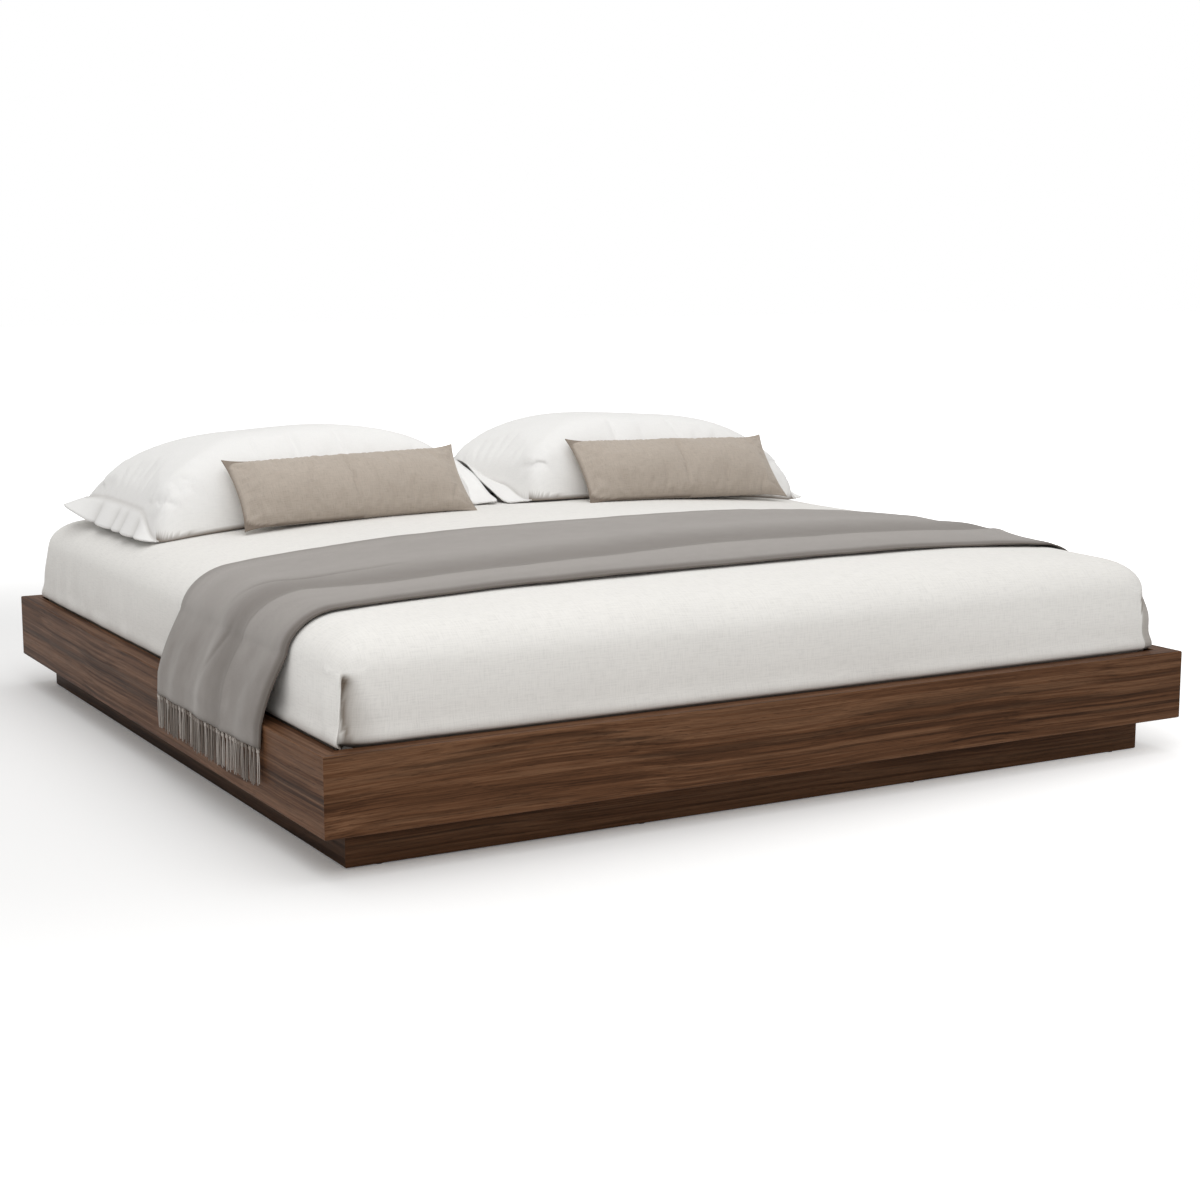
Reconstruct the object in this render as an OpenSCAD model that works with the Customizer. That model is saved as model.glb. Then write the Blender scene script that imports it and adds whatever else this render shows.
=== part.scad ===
// Low platform bed: mitred walnut rails on a recessed plinth, slats on a centre beam,
// and the bedding that lies on it. The foot end faces -Y, the head end +Y, and +Z is up.

/* [Bed frame] */
// Width over the side rails
bed_w = 2100; // [1700:10:2300]
// Length over the foot and head rails
bed_l = 2100; // [2000:10:2300]
// Height of a rail
rail_h = 155; // [125:5:200]
// Thickness of a rail, which shows as the ledge round the mattress
rail_t = 45; // [35:1:55]
// Eased edge of the rails and the plinth
arris = 2; // [1:0.5:4]

/* [Plinth] */
// Height of the rails' underside above the floor
plinth_h = 80; // [60:5:120]
// How far the plinth stands back from the rails' outer faces
plinth_inset = 67; // [60:1:90]
// Thickness of the plinth boards and ribs
plinth_t = 25; // [22:1:30]
// Cross ribs inside the plinth
rib_count = 2; // [1:1:4]
// Leg of a triangular corner block
block_leg = 70; // [50:5:90]
// Thickness of a glide
glide_h = 2; // [1:0.5:6]
// Radius of a glide
glide_r = 9; // [8:0.5:11]

/* [Slats] */
// Height of the ledgers and the centre beam
ledger_h = 55; // [45:1:70]
// Width of the centre beam
beam_w = 60; // [50:1:80]
// Slats on each side of the beam
slat_count = 14; // [10:1:18]
// Width of a slat
slat_w = 70; // [50:1:85]
// Thickness of a slat
slat_t = 20; // [15:1:24]
// Eased edge of a slat
slat_arris = 3; // [1:0.5:5]
// Width of the tape that spaces the slats
tape_w = 25; // [15:1:40]
// Thickness of the tape
tape_t = 1.5; // [1:0.1:2.5]

/* [Hardware] */
// Steel of the corner brackets and beam hangers
steel_t = 3; // [2:0.5:4]
// Leg of a corner bracket
bracket_leg = 80; // [65:1:100]
// Height of a corner bracket
bracket_h = 45; // [35:1:45]
// Radius of a bracket bolt's shank
bolt_r = 4; // [3:0.5:5]
// Radius of a wood screw's shank
screw_r = 2.5; // [2:0.5:3]
// How deep bolts and screws bite into the rail or the plinth
bite = 25; // [15:1:32]

/* [Mattress and cover] */
// Gap between the mattress and the rails
mattress_gap = 14; // [10:0.5:20]
// Height of the mattress's side, up to where its shoulder rounds over
mattress_side = 217; // [200:1:260]
// Height of the rounded shoulder
shoulder_h = 65; // [45:5:80]
// Width of the rounded shoulder
shoulder_w = 95; // [70:5:130]
// Rise of the crown above the shoulder
crown_h = 58; // [30:2:70]
// Corner radius of the mattress seen from above
corner_r = 50; // [40:5:100]
// How far the sides swell out above the rails
side_swell = 4; // [1:1:8]
// Thickness of the bed cover
cover_t = 4; // [3:0.5:5]

/* [Pillows and cushions] */
// Length of a pillow with its flange
pillow_l = 975; // [860:5:980]
// Depth of a pillow with its flange
pillow_d = 600; // [520:10:640]
// Height of a filled pillow
pillow_h = 205; // [140:5:220]
// Width of the flange at each end of the pillow
flange_w = 48; // [35:1:60]
// Length of a lumbar cushion
cushion_l = 605; // [520:5:660]
// Height of a lumbar cushion
cushion_d = 200; // [170:5:240]
// Thickness of a lumbar cushion
cushion_t = 88; // [60:2:100]

/* [Throw] */
// Width of the throw across the bed's length
throw_w = 620; // [500:10:720]
// Distance of the throw from the foot rail's outer face
throw_foot_gap = 300; // [250:10:400]
// Thickness of the throw
throw_t = 3.5; // [2.5:0.5:5]
// Height of the hem above the floor
hem_z = 190; // [170:5:200]
// Height of the throw's soft folds
fold_h = 11; // [4:1:16]
// Length of the fringe
fringe_l = 78; // [60:2:80]
// Tassels along one hem
tassel_count = 36; // [24:1:48]
// Radius of a tassel
tassel_r = 2.4; // [1.5:0.1:3]

/* [Hidden] */

// Overrun of every cut past the face that it opens
cut_over = 1;
// Running clearance round bolts and screws
hole_clear = 0.2;
// Gap that keeps soft pieces clear of what they lie on
seat_gap = 0.4;

// Levels
rail_top = plinth_h + rail_h;
slat_seat = plinth_h + ledger_h;
slat_top = slat_seat + slat_t;

// Plan sizes, measured from the middle of the bed
half_w = bed_w / 2;
half_l = bed_l / 2;
well_w = half_w - rail_t;
well_l = half_l - rail_t;
ledger_w = plinth_inset - rail_t + plinth_t;
core_w = well_w - ledger_w;
core_l = well_l - ledger_w;

// Colours
walnut = [0.36, 0.23, 0.16];
walnut_dark = [0.24, 0.15, 0.1];
pine = [0.83, 0.7, 0.5];
steel = [0.6, 0.61, 0.62];
linen = [0.93, 0.92, 0.9];
taupe = [0.7, 0.65, 0.6];
grey_wool = [0.57, 0.56, 0.55];

// Shared shapes
// Repeats its children in all four corners
module four_corners() {
    for (turn_x = [0, 1], turn_y = [0, 1])
        mirror([turn_x, 0, 0]) mirror([0, turn_y, 0]) children();
}

// Section of a board with three eased edges: x is inward from its outer face, y is up
module board_section(thick, height, ease) {
    polygon([[0, ease], [ease, 0], [thick, 0], [thick, height - ease],
             [thick - ease, height], [ease, height], [0, height - ease]]);
}

// A board along X with its outer face at y = 0 and both ends mitred
module mitred_board(length, thick, height, ease) {
    intersection() {
        rotate([90, 0, 90]) translate([0, 0, -length / 2])
            linear_extrude(length) board_section(thick, height, ease);
        linear_extrude(height)
            polygon([[-length / 2, 0], [length / 2, 0],
                     [length / 2 - thick, thick], [thick - length / 2, thick]]);
    }
}

// A pan-head fastener along +X, its head outside the face at x = 0, with a six-sided socket
module fastener(shank_r, length, head_r, head_h, socket_r) {
    difference() {
        union() {
            rotate([0, 90, 0]) cylinder(r = shank_r, h = length, $fn = 32);
            translate([-head_h, 0, 0]) rotate([0, 90, 0])
                cylinder(r = head_r, h = head_h, $fn = 32);
        }
        translate([-head_h - cut_over, 0, 0]) rotate([0, 90, 0])
            cylinder(r = socket_r, h = head_h / 2 + cut_over, $fn = 6);
    }
}

// The clearance hole for a fastener's shank, along +X from x = -cut_over
module shank_hole(shank_r, length) {
    translate([-cut_over, 0, 0]) rotate([0, 90, 0])
        cylinder(r = shank_r + hole_clear, h = length + cut_over + hole_clear, $fn = 32);
}

// Fasteners' places
bolt_l = steel_t + ledger_w + bite;
bolt_head_r = 1.75 * bolt_r;
bolt_head_h = bolt_r;
screw_l = ledger_w + bite;
screw_head_r = 2 * screw_r;
screw_head_h = screw_r;
hanger_screw_l = ledger_w * 0.7;
fastener_z = plinth_h + ledger_h / 2;
bolt_rows_share = [0.45, 0.8];
ledger_screw_shares = [-0.75, -0.45, -0.15, 0.15, 0.45, 0.75];
plinth_screw_shares = [-0.6, 0.1, 0.6];
plinth_screw_r = 1.4 * screw_r;
plinth_screw_sink = 5;
plinth_screw_line = plinth_inset + plinth_t / 2;
plinth_screw_l = ledger_h - plinth_screw_sink - screw_head_h + 1.6 * bite;

// Bolts of one corner's bracket, in the corner where x and y are positive
module at_corner_bolts() {
    for (share = bolt_rows_share) {
        translate([core_w - steel_t, core_l - share * bracket_leg, fastener_z]) children();
        translate([core_w - share * bracket_leg, core_l - steel_t, fastener_z])
            rotate([0, 0, 90]) children();
    }
}

// Screws through the ledgers into the rails
module at_ledger_screws() {
    for (share = ledger_screw_shares, turn = [0, 1]) {
        mirror([turn, 0, 0]) translate([core_w, share * well_l, fastener_z]) children();
        mirror([0, turn, 0]) translate([share * core_w, core_l, fastener_z])
            rotate([0, 0, 90]) children();
    }
}

// Upright screws through the ledgers into the plinth, pointing down
module at_plinth_screws() {
    for (share = plinth_screw_shares, turn = [0, 1]) {
        mirror([turn, 0, 0])
            translate([half_w - plinth_screw_line, share * well_l,
                       slat_seat - plinth_screw_sink - screw_head_h])
            rotate([0, 90, 0]) children();
        mirror([0, turn, 0])
            translate([share * core_w, half_l - plinth_screw_line,
                       slat_seat - plinth_screw_sink - screw_head_h])
            rotate([0, 90, 0]) children();
    }
}

// Screws that hold the beam hangers to the foot and head ledgers
hanger_ear = 26;
hanger_clear = 0.5;
hanger_half = beam_w / 2 + hanger_clear + steel_t;
hanger_d = 40;
module at_hanger_screws() {
    for (turn_x = [0, 1], turn_y = [0, 1])
        mirror([turn_x, 0, 0]) mirror([0, turn_y, 0])
            translate([hanger_half + hanger_ear / 2, core_l - steel_t, fastener_z])
            rotate([0, 0, 90]) children();
}

// Every hole that the frame's fasteners need
module frame_holes() {
    four_corners() at_corner_bolts() shank_hole(bolt_r, bolt_l);
    at_ledger_screws() shank_hole(screw_r, screw_l);
    at_plinth_screws() {
        shank_hole(plinth_screw_r, plinth_screw_l);
        translate([-screw_head_h - plinth_screw_sink - cut_over, 0, 0]) rotate([0, 90, 0])
            cylinder(r = screw_head_r + hole_clear,
                     h = screw_head_h + plinth_screw_sink + cut_over, $fn = 32);
    }
    at_hanger_screws() shank_hole(screw_r, hanger_screw_l);
}

// Frame
module end_rail() {
    difference() {
        translate([0, -half_l, plinth_h]) mitred_board(bed_w, rail_t, rail_h, arris);
        frame_holes();
    }
}

module side_rail() {
    difference() {
        translate([-half_w, 0, plinth_h]) rotate([0, 0, -90])
            mitred_board(bed_l, rail_t, rail_h, arris);
        frame_holes();
    }
}

module foot_rail() { color(walnut) end_rail(); }
module head_rail() { color(walnut) mirror([0, 1, 0]) end_rail(); }
module side_rail_left() { color(walnut) side_rail(); }
module side_rail_right() { color(walnut) mirror([1, 0, 0]) side_rail(); }

module side_ledger() {
    color(pine) difference() {
        translate([-well_w, -well_l, plinth_h]) cube([ledger_w, 2 * well_l, ledger_h]);
        frame_holes();
    }
}

module end_ledger() {
    color(pine) difference() {
        translate([-core_w, -well_l, plinth_h]) cube([2 * core_w, ledger_w, ledger_h]);
        frame_holes();
    }
}

module side_ledger_left() { side_ledger(); }
module side_ledger_right() { mirror([1, 0, 0]) side_ledger(); }
module foot_ledger() { end_ledger(); }
module head_ledger() { mirror([0, 1, 0]) end_ledger(); }

// The beam lies on the ribs and in a hanger at each end
module centre_beam() {
    reach = core_l - steel_t - hanger_clear;
    color(pine) translate([-beam_w / 2, -reach, plinth_h])
        cube([beam_w, 2 * reach, ledger_h]);
}

// A steel saddle with an ear on each side, against the ledger's inner face
module beam_hanger() {
    difference() {
        union() {
            translate([-hanger_half - hanger_ear, core_l - steel_t, plinth_h - steel_t])
                cube([2 * (hanger_half + hanger_ear), steel_t, ledger_h + steel_t - cut_over]);
            translate([-hanger_half, core_l - hanger_d, plinth_h - steel_t])
                cube([2 * hanger_half, hanger_d, steel_t]);
            for (turn = [0, 1]) mirror([turn, 0, 0])
                translate([hanger_half - steel_t, core_l - hanger_d, plinth_h - steel_t])
                cube([steel_t, hanger_d, ledger_h * 0.8]);
        }
        at_hanger_screws() shank_hole(screw_r, hanger_screw_l);
    }
}

module beam_hangers() {
    color(steel) for (turn = [0, 1]) mirror([0, turn, 0]) beam_hanger();
}

module hanger_screws() {
    color(steel) at_hanger_screws()
        fastener(screw_r, hanger_screw_l, screw_head_r, screw_head_h, screw_r);
}

// An angle plate inside one corner of the ledgers
module corner_bracket() {
    base_z = fastener_z - bracket_h / 2;
    difference() {
        translate([0, 0, base_z]) linear_extrude(bracket_h)
            polygon([[core_w, core_l], [core_w - bracket_leg, core_l],
                     [core_w - bracket_leg, core_l - steel_t],
                     [core_w - 2 * steel_t, core_l - steel_t],
                     [core_w - steel_t, core_l - 2 * steel_t],
                     [core_w - steel_t, core_l - bracket_leg], [core_w, core_l - bracket_leg]]);
        at_corner_bolts() shank_hole(bolt_r, bolt_l);
    }
}

module corner_brackets() { color(steel) four_corners() corner_bracket(); }

module bracket_bolts() {
    color(steel) four_corners() at_corner_bolts()
        fastener(bolt_r, bolt_l, bolt_head_r, bolt_head_h, bolt_r * 0.7);
}

module ledger_screws() {
    color(steel) at_ledger_screws()
        fastener(screw_r, screw_l, screw_head_r, screw_head_h, screw_r);
}

module plinth_screws() {
    color(steel) at_plinth_screws()
        fastener(plinth_screw_r, plinth_screw_l, screw_head_r, screw_head_h, screw_r);
}

// Plinth
plinth_board_h = plinth_h - glide_h;
plinth_half_w = half_w - plinth_inset;
plinth_half_l = half_l - plinth_inset;

module plinth_end() {
    difference() {
        translate([0, -plinth_half_l, glide_h])
            mitred_board(2 * plinth_half_w, plinth_t, plinth_board_h, arris);
        frame_holes();
    }
}

module plinth_side() {
    difference() {
        translate([-plinth_half_w, 0, glide_h]) rotate([0, 0, -90])
            mitred_board(2 * plinth_half_l, plinth_t, plinth_board_h, arris);
        frame_holes();
    }
}

module plinth_front() { color(walnut_dark) plinth_end(); }
module plinth_back() { color(walnut_dark) mirror([0, 1, 0]) plinth_end(); }
module plinth_left() { color(walnut_dark) plinth_side(); }
module plinth_right() { color(walnut_dark) mirror([1, 0, 0]) plinth_side(); }

function rib_y(i) = core_l * (2 * (i + 1) / (rib_count + 1) - 1);

module plinth_ribs() {
    color(pine) for (i = [0 : rib_count - 1])
        translate([-core_w, rib_y(i) - plinth_t / 2, glide_h])
        cube([2 * core_w, plinth_t, plinth_board_h]);
}

module plinth_corner_blocks() {
    color(pine) four_corners()
        translate([core_w, core_l, glide_h]) linear_extrude(plinth_board_h - steel_t)
        polygon([[0, 0], [-block_leg, 0], [0, -block_leg]]);
}

glide_shares = [-0.94, -0.35, 0.35, 0.94];
module glides() {
    line_w = half_w - plinth_screw_line;
    line_l = half_l - plinth_screw_line;
    color("dimgray") {
        for (share = glide_shares, turn = [0, 1])
            mirror([0, turn, 0]) translate([share * line_w, line_l, 0])
                cylinder(r = glide_r, h = glide_h, $fn = 48);
        for (side = [-line_w, line_w], share = [-0.5, 0.5])
            translate([side, share * line_l, 0]) cylinder(r = glide_r, h = glide_h, $fn = 48);
        for (i = [0 : rib_count - 1], share = [-0.5, 0, 0.5])
            translate([share * core_w, rib_y(i), 0])
                cylinder(r = glide_r, h = glide_h, $fn = 48);
    }
}

// Slats
slat_end_gap = 4;
slat_margin = 60;
function slat_y(i) = (well_l - slat_margin) * (2 * i / (slat_count - 1) - 1);

module slat() {
    length = well_w - 2 * slat_end_gap;
    translate([slat_end_gap, 0, slat_seat]) rotate([90, 0, 90]) linear_extrude(length)
        polygon([[-slat_w / 2, slat_arris], [slat_arris - slat_w / 2, 0],
                 [slat_w / 2 - slat_arris, 0], [slat_w / 2, slat_arris],
                 [slat_w / 2, slat_t - slat_arris], [slat_w / 2 - slat_arris, slat_t],
                 [slat_arris - slat_w / 2, slat_t], [-slat_w / 2, slat_t - slat_arris]]);
}

module slats_right() {
    color(pine) for (i = [0 : slat_count - 1]) translate([0, slat_y(i), 0]) slat();
}
module slats_left() { mirror([1, 0, 0]) slats_right(); }

tape_shares = [0.25, 0.75];
module slat_tapes() {
    reach = min(core_l - steel_t - hanger_clear, well_l - slat_margin + slat_w / 2);
    color("white") for (share = tape_shares, side = [-1, 1])
        translate([side * share * well_w - tape_w / 2, -reach, slat_seat - tape_t])
        cube([tape_w, 2 * reach, tape_t]);
}

// Lofted solids
// Rounded outline, counter-clockwise, with the same number of points at every size
arc_points = 5;
side_points = 5;
ring_size = 4 * (arc_points + side_points);
function corner_arc(a, b, r, quarter) =
    let (cx = (quarter == 0 || quarter == 3) ? a - r : r - a,
         cy = quarter < 2 ? b - r : r - b)
    [for (i = [0 : arc_points - 1]) let (t = 90 * (quarter + i / (arc_points - 1)))
        [cx + r * cos(t), cy + r * sin(t)]];
function outline(a, b, r) =
    [for (q = [0 : 3]) let (here = corner_arc(a, b, r, q), next = corner_arc(a, b, r, (q + 1) % 4))
        each concat(here,
            [for (j = [1 : side_points])
                here[arc_points - 1] + (next[0] - here[arc_points - 1]) * j / (side_points + 1)])];

// Average of a ring, which closes its end
function ring_middle(ring) = [for (k = [0 : 2]) sum_of(ring, k) / len(ring)];
function sum_of(ring, k, i = 0) = i == len(ring) ? 0 : ring[i][k] + sum_of(ring, k, i + 1);

// Closed solid through a row of rings, each end closed by a fan. The diagonals of the
// first turned rows run the other way, so that a wall inside another matches its facets.
module lofted(rings, turned = 0) {
    n = len(rings[0]);
    rows = len(rings);
    points = concat([for (ring = rings) each ring],
                    [ring_middle(rings[0]), ring_middle(rings[rows - 1])]);
    walls = [for (i = [0 : rows - 2], j = [0 : n - 1])
        let (a = i * n + j, b = i * n + (j + 1) % n, c = b + n, d = a + n)
        each i < turned ? [[a, d, b], [b, d, c]] : [[a, d, c], [a, c, b]]];
    first = [for (j = [0 : n - 1]) [rows * n, j, (j + 1) % n]];
    last = [for (j = [0 : n - 1])
        [rows * n + 1, (rows - 1) * n + (j + 1) % n, (rows - 1) * n + j]];
    polyhedron(points = points, faces = concat(walls, first, last), convexity = 6);
}

// Mattress and cover
mattress_z = slat_top + seat_gap;
mattress_half_w = well_w - mattress_gap;
mattress_half_l = well_l - mattress_gap;
swell_w = mattress_half_w + side_swell;
swell_l = mattress_half_l + side_swell;
side_top = mattress_z + mattress_side;
shoulder_z = side_top + shoulder_h;
crown_power = 2.6;
cover_gap = 0.8;
cover_out = cover_gap + cover_t;
cover_hem = 18;

// Height that the rounded shoulder loses at a distance inside the swollen side
function shoulder_drop(d) =
    d >= shoulder_w ? 0 : shoulder_h * (1 - sqrt(1 - pow((shoulder_w - max(d, 0)) / shoulder_w, 2)));
function crown(x, y) = crown_h * (1 - pow(min(1, abs(x) / swell_w), crown_power))
    * (1 - pow(min(1, abs(y) / swell_l), crown_power));
// Height of the mattress's top at a place
function top_z(x, y) = shoulder_z + crown(x, y)
    - shoulder_drop(swell_w - abs(x)) - shoulder_drop(swell_l - abs(y));

// Insets of the rings over the top, as shares of the shoulder and of the half width
shoulder_shares = [0, 0.05, 0.18, 0.42, 0.78, 1.3];
crown_shares = [0.24, 0.4, 0.6, 0.82];
function top_insets() = concat([for (s = shoulder_shares) s * shoulder_w],
                               [for (s = crown_shares) s * min(swell_w, swell_l)]);

// Ring at a height on the side, grown outwards by a skin
function side_ring(swell, z, skin) =
    [for (p = outline(mattress_half_w + swell + skin, mattress_half_l + swell + skin,
                      corner_r + skin)) [p.x, p.y, z]];
function top_ring(inset, skin) =
    let (base = outline(swell_w - inset, swell_l - inset, max(corner_r - inset / 2, corner_r / 3)),
         grown = outline(swell_w - inset + skin, swell_l - inset + skin,
                         max(corner_r - inset / 2, corner_r / 3) + skin))
    [for (i = [0 : ring_size - 1]) [grown[i].x, grown[i].y, top_z(base[i].x, base[i].y) + skin]];

// Rings from the bottom edge to the crown
function skin_rings(foot_z, skin) =
    concat([side_ring(0, foot_z, skin), side_ring(0, rail_top, skin),
            side_ring(side_swell, (rail_top + side_top) / 2, skin)],
           [for (inset = top_insets()) top_ring(inset, skin)]);

function reversed(list) = [for (i = [len(list) - 1 : -1 : 0]) list[i]];

module mattress() { color(linen) lofted(skin_rings(mattress_z, 0)); }

module bed_cover() {
    lining = reversed(skin_rings(mattress_z + cover_hem, cover_gap));
    outside = skin_rings(mattress_z + cover_hem, cover_out);
    color(linen) lofted(concat(lining, outside), len(lining) - 1);
}

// Pillows
pillow_apart = 20;
pillow_head_gap = 160;
pillow_x = max(mattress_half_w, pillow_l + pillow_apart) / 2;
pillow_y = half_l - pillow_head_gap - pillow_d / 2;
pillow_sag = 22;
pillow_corner = 70;
pillow_pull_share = 0.05;
flange_t = 4;
pillow_seat = 1.5;
// Fill of a stuffed form at a share of the way from its middle to its seam
function fill(s, power, root) = pow(max(0, 1 - pow(s, power)), root);
// Draws the middle of each side in, and leaves the corners out
function drawn_in(p, a, b, pull) =
    [p.x * (1 - pull * (1 - pow(p.y / b, 2))), p.y * (1 - pull * (1 - pow(p.x / a, 2)))];

// The cover's top under a pillow, which the pillow's base follows
function bed_z(x, y) = top_z(x, y) + cover_out;

pillow_a = pillow_l / 2 - flange_w;
pillow_b = pillow_d / 2 - flange_t;

// Ring of the pillow at a share of its plan size, at a height over its base; the last
// value is how much of the flange it takes in
function pillow_ring(s, rise, flange) =
    let (a = pillow_a * s + flange_w * flange, b = pillow_b * s + flange_t * flange)
    [for (q = outline(a, b, pillow_corner * max(s, 0.3)))
        let (p = drawn_in(q, a, b, pillow_pull_share),
             taper = 1 - 0.25 * pow(q.x / a, 2) * pow(q.y / b, 2),
             x = p.x + pillow_x, y = p.y + pillow_y)
        [x, y, max(bed_z(x, y), bed_z(pillow_x, pillow_y) - pillow_sag)
               + pillow_seat + rise * taper]];

// Rise of the pillow's fill over its base at a share of the way to its seam
function pillow_rise(s) = flange_t + (pillow_h - flange_t) * fill(s, 3.4, 0.5);
pillow_under_shares = [0.2, 0.45, 0.68, 0.86, 1];
pillow_over_shares = [1, 0.95, 0.86, 0.72, 0.54, 0.32];
module pillow() {
    lofted(concat([for (s = pillow_under_shares) pillow_ring(s, 0, 0)],
                  [pillow_ring(1, 0, 1), pillow_ring(1, flange_t, 1)],
                  [for (s = pillow_over_shares) pillow_ring(s, pillow_rise(s), 0)]));
}
module pillow_right() { color(linen) pillow(); }
module pillow_left() { color(linen) mirror([1, 0, 0]) pillow(); }

// Lumbar cushions
left_cushion_shift = -65;
right_cushion_shift = 8;
left_cushion_x = pillow_x + left_cushion_shift;
right_cushion_x = pillow_x + right_cushion_shift;
cushion_lean = 42;
cushion_tilt = 1.2;
cushion_corner = 22;
cushion_pull_share = 0.055;
cushion_rim = 3;
cushion_back_gap = 0.8;

// Half thickness of a cushion at a share of the way to its seam
function cushion_half(s) = cushion_rim / 2 + (cushion_t - cushion_rim) / 2 * fill(s, 2.2, 0.6);
function cushion_ring(s, rise) =
    [for (q = outline(cushion_l / 2 * s, cushion_d / 2 * s, cushion_corner * max(s, 0.3)))
        let (p = drawn_in(q, cushion_l / 2, cushion_d / 2, cushion_pull_share),
             taper = 1 - 0.4 * pow(2 * q.x / cushion_l, 2) * pow(2 * q.y / cushion_d, 2))
        [p.x, p.y, rise * taper]];
cushion_shares = [0.3, 0.62, 0.86, 1];
cushion_rings = concat([for (s = cushion_shares) cushion_ring(s, -cushion_half(s))],
                       [for (s = reversed(cushion_shares)) cushion_ring(s, cushion_half(s))]);

// A point of the cushion once it leans back and tilts, before it is put in its place
function leaning(p) = let (y = p.y * sin(cushion_lean) - p.z * cos(cushion_lean),
                           z = p.y * cos(cushion_lean) + p.z * sin(cushion_lean))
    [p.x * cos(cushion_tilt) + z * sin(cushion_tilt), y,
     z * cos(cushion_tilt) - p.x * sin(cushion_tilt)];

// Height of a cushion's middle when its lowest edge rests on the bed cover
function resting_z(x, y) = seat_gap
    + max([for (ring = cushion_rings, p = ring) let (q = leaning(p))
        bed_z(x + q.x, y + q.y) - q.z]);

// Place where the cushion's back first meets the front of the pillow's fill, looked for at
// places along the cushion and at shares of the way up the pillow
touch_shares = [for (i = [0 : 12]) 1 - i / 24];
touch_along_shares = [-0.95, -0.7, -0.35, 0, 0.35, 0.7, 0.95];
function pillow_front(s, x) =
    let (y = pillow_y - pillow_b * s
             * (1 - pillow_pull_share * (1 - pow((x - pillow_x) / pillow_a, 2))))
    [y, max(bed_z(x, y), bed_z(pillow_x, pillow_y) - pillow_sag) + pillow_seat + pillow_rise(s)];
function touching_y(x, z, near) = min([for (k = touch_along_shares, s = touch_shares)
    let (end = k * cushion_l / 2,
         rise = z - end * sin(cushion_tilt),
         p = pillow_front(s, x + end),
         along = (p[0] - near) * sin(cushion_lean) + (p[1] - rise) * cos(cushion_lean),
         half = cushion_half(min(1, max(abs(k), abs(along) * 2 / cushion_d))))
    p[0] - (p[1] - rise) * tan(cushion_lean) - (half + cushion_back_gap) / cos(cushion_lean)]);
function cushion_place(x, near, step) = let (z = resting_z(x, near))
    step == 0 ? [x, near, z] : cushion_place(x, (near + touching_y(x, z, near)) / 2, step - 1);

module placed_cushion(x) {
    translate(cushion_place(x, pillow_y - pillow_d / 2, 8))
        rotate([0, cushion_tilt, 0]) rotate([90 - cushion_lean, 0, 0]) lofted(cushion_rings);
}
module cushion_right() { color(taupe) placed_cushion(right_cushion_x); }
module cushion_left() { color(taupe) mirror([1, 0, 0]) placed_cushion(left_cushion_x); }

// Throw
throw_gap = 1.2;
throw_skin = cover_out + throw_gap;
throw_columns = 12;
hem_out = 3;
fold_places_share = [0.2, 0.52, 0.8];
fold_widths_share = [0.07, 0.09, 0.06];
fold_heights_share = [0.7, 1, 0.55];

// Height of the folds at a share of the throw's width
function folds(t) = fold_h * sum_folds(t, 0);
function sum_folds(t, i) = i == len(fold_places_share) ? 0
    : fold_heights_share[i] * exp(-pow((t - fold_places_share[i]) / fold_widths_share[i], 2))
      + sum_folds(t, i + 1);

function throw_y(t) = t * throw_w - half_l + throw_foot_gap;

// Stations along the throw's right half: place, height, outward normal, and how much a fold shows
drape_x = half_w + throw_gap / 2;
drape_rise_shares = [0.3, 0.65];
shoulder_angles = [0, 18, 36, 54, 72, 90];
top_x_shares = [0.87, 0.78, 0.66, 0.5, 0.34, 0.17];
function on_drape(x, z, fold) = [x, z, 1, 0, fold];
function throw_station(i, y) =
    let (side_x = swell_w + throw_skin, start = 3 + len(drape_rise_shares))
    i == 0 ? on_drape(drape_x + hem_out, hem_z, 1)
    : i == 1 ? on_drape(drape_x + hem_out * 0.7, (hem_z + rail_top) / 2, 1)
    : i == 2 ? on_drape(drape_x, rail_top, 0.9)
    : i < start ? let (s = drape_rise_shares[i - 3])
        on_drape(drape_x + (side_x - drape_x) * s, rail_top + (side_top - rail_top) * s, 0.8)
    : i < start + len(shoulder_angles) ? let (angle = shoulder_angles[i - start],
            x = swell_w - shoulder_w * (1 - cos(angle)))
        [x + cover_out + throw_gap * cos(angle), top_z(x, y) + cover_out + throw_gap * sin(angle),
         cos(angle), sin(angle), 0.8]
    : let (x = swell_w * top_x_shares[i - start - len(shoulder_angles)])
        [x, top_z(x, y) + throw_skin, 0, 1, 0.8];
half_stations = 3 + len(drape_rise_shares) + len(shoulder_angles) + len(top_x_shares);
stations = 2 * half_stations + 1;

// One point of the sheet: a station from hem to hem, a share of the width, a height over the base
function throw_point(i, t, lift) =
    let (y = throw_y(t), side = i < half_stations ? -1 : 1,
         s = i == half_stations ? [0, top_z(0, y) + throw_skin, 0, 1, 0.8]
             : throw_station(i < half_stations ? i : stations - 1 - i, y),
         out = folds(t) * s[4] + lift)
    [side * (s[0] + s[2] * out), y, s[1] + s[3] * out];

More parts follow.
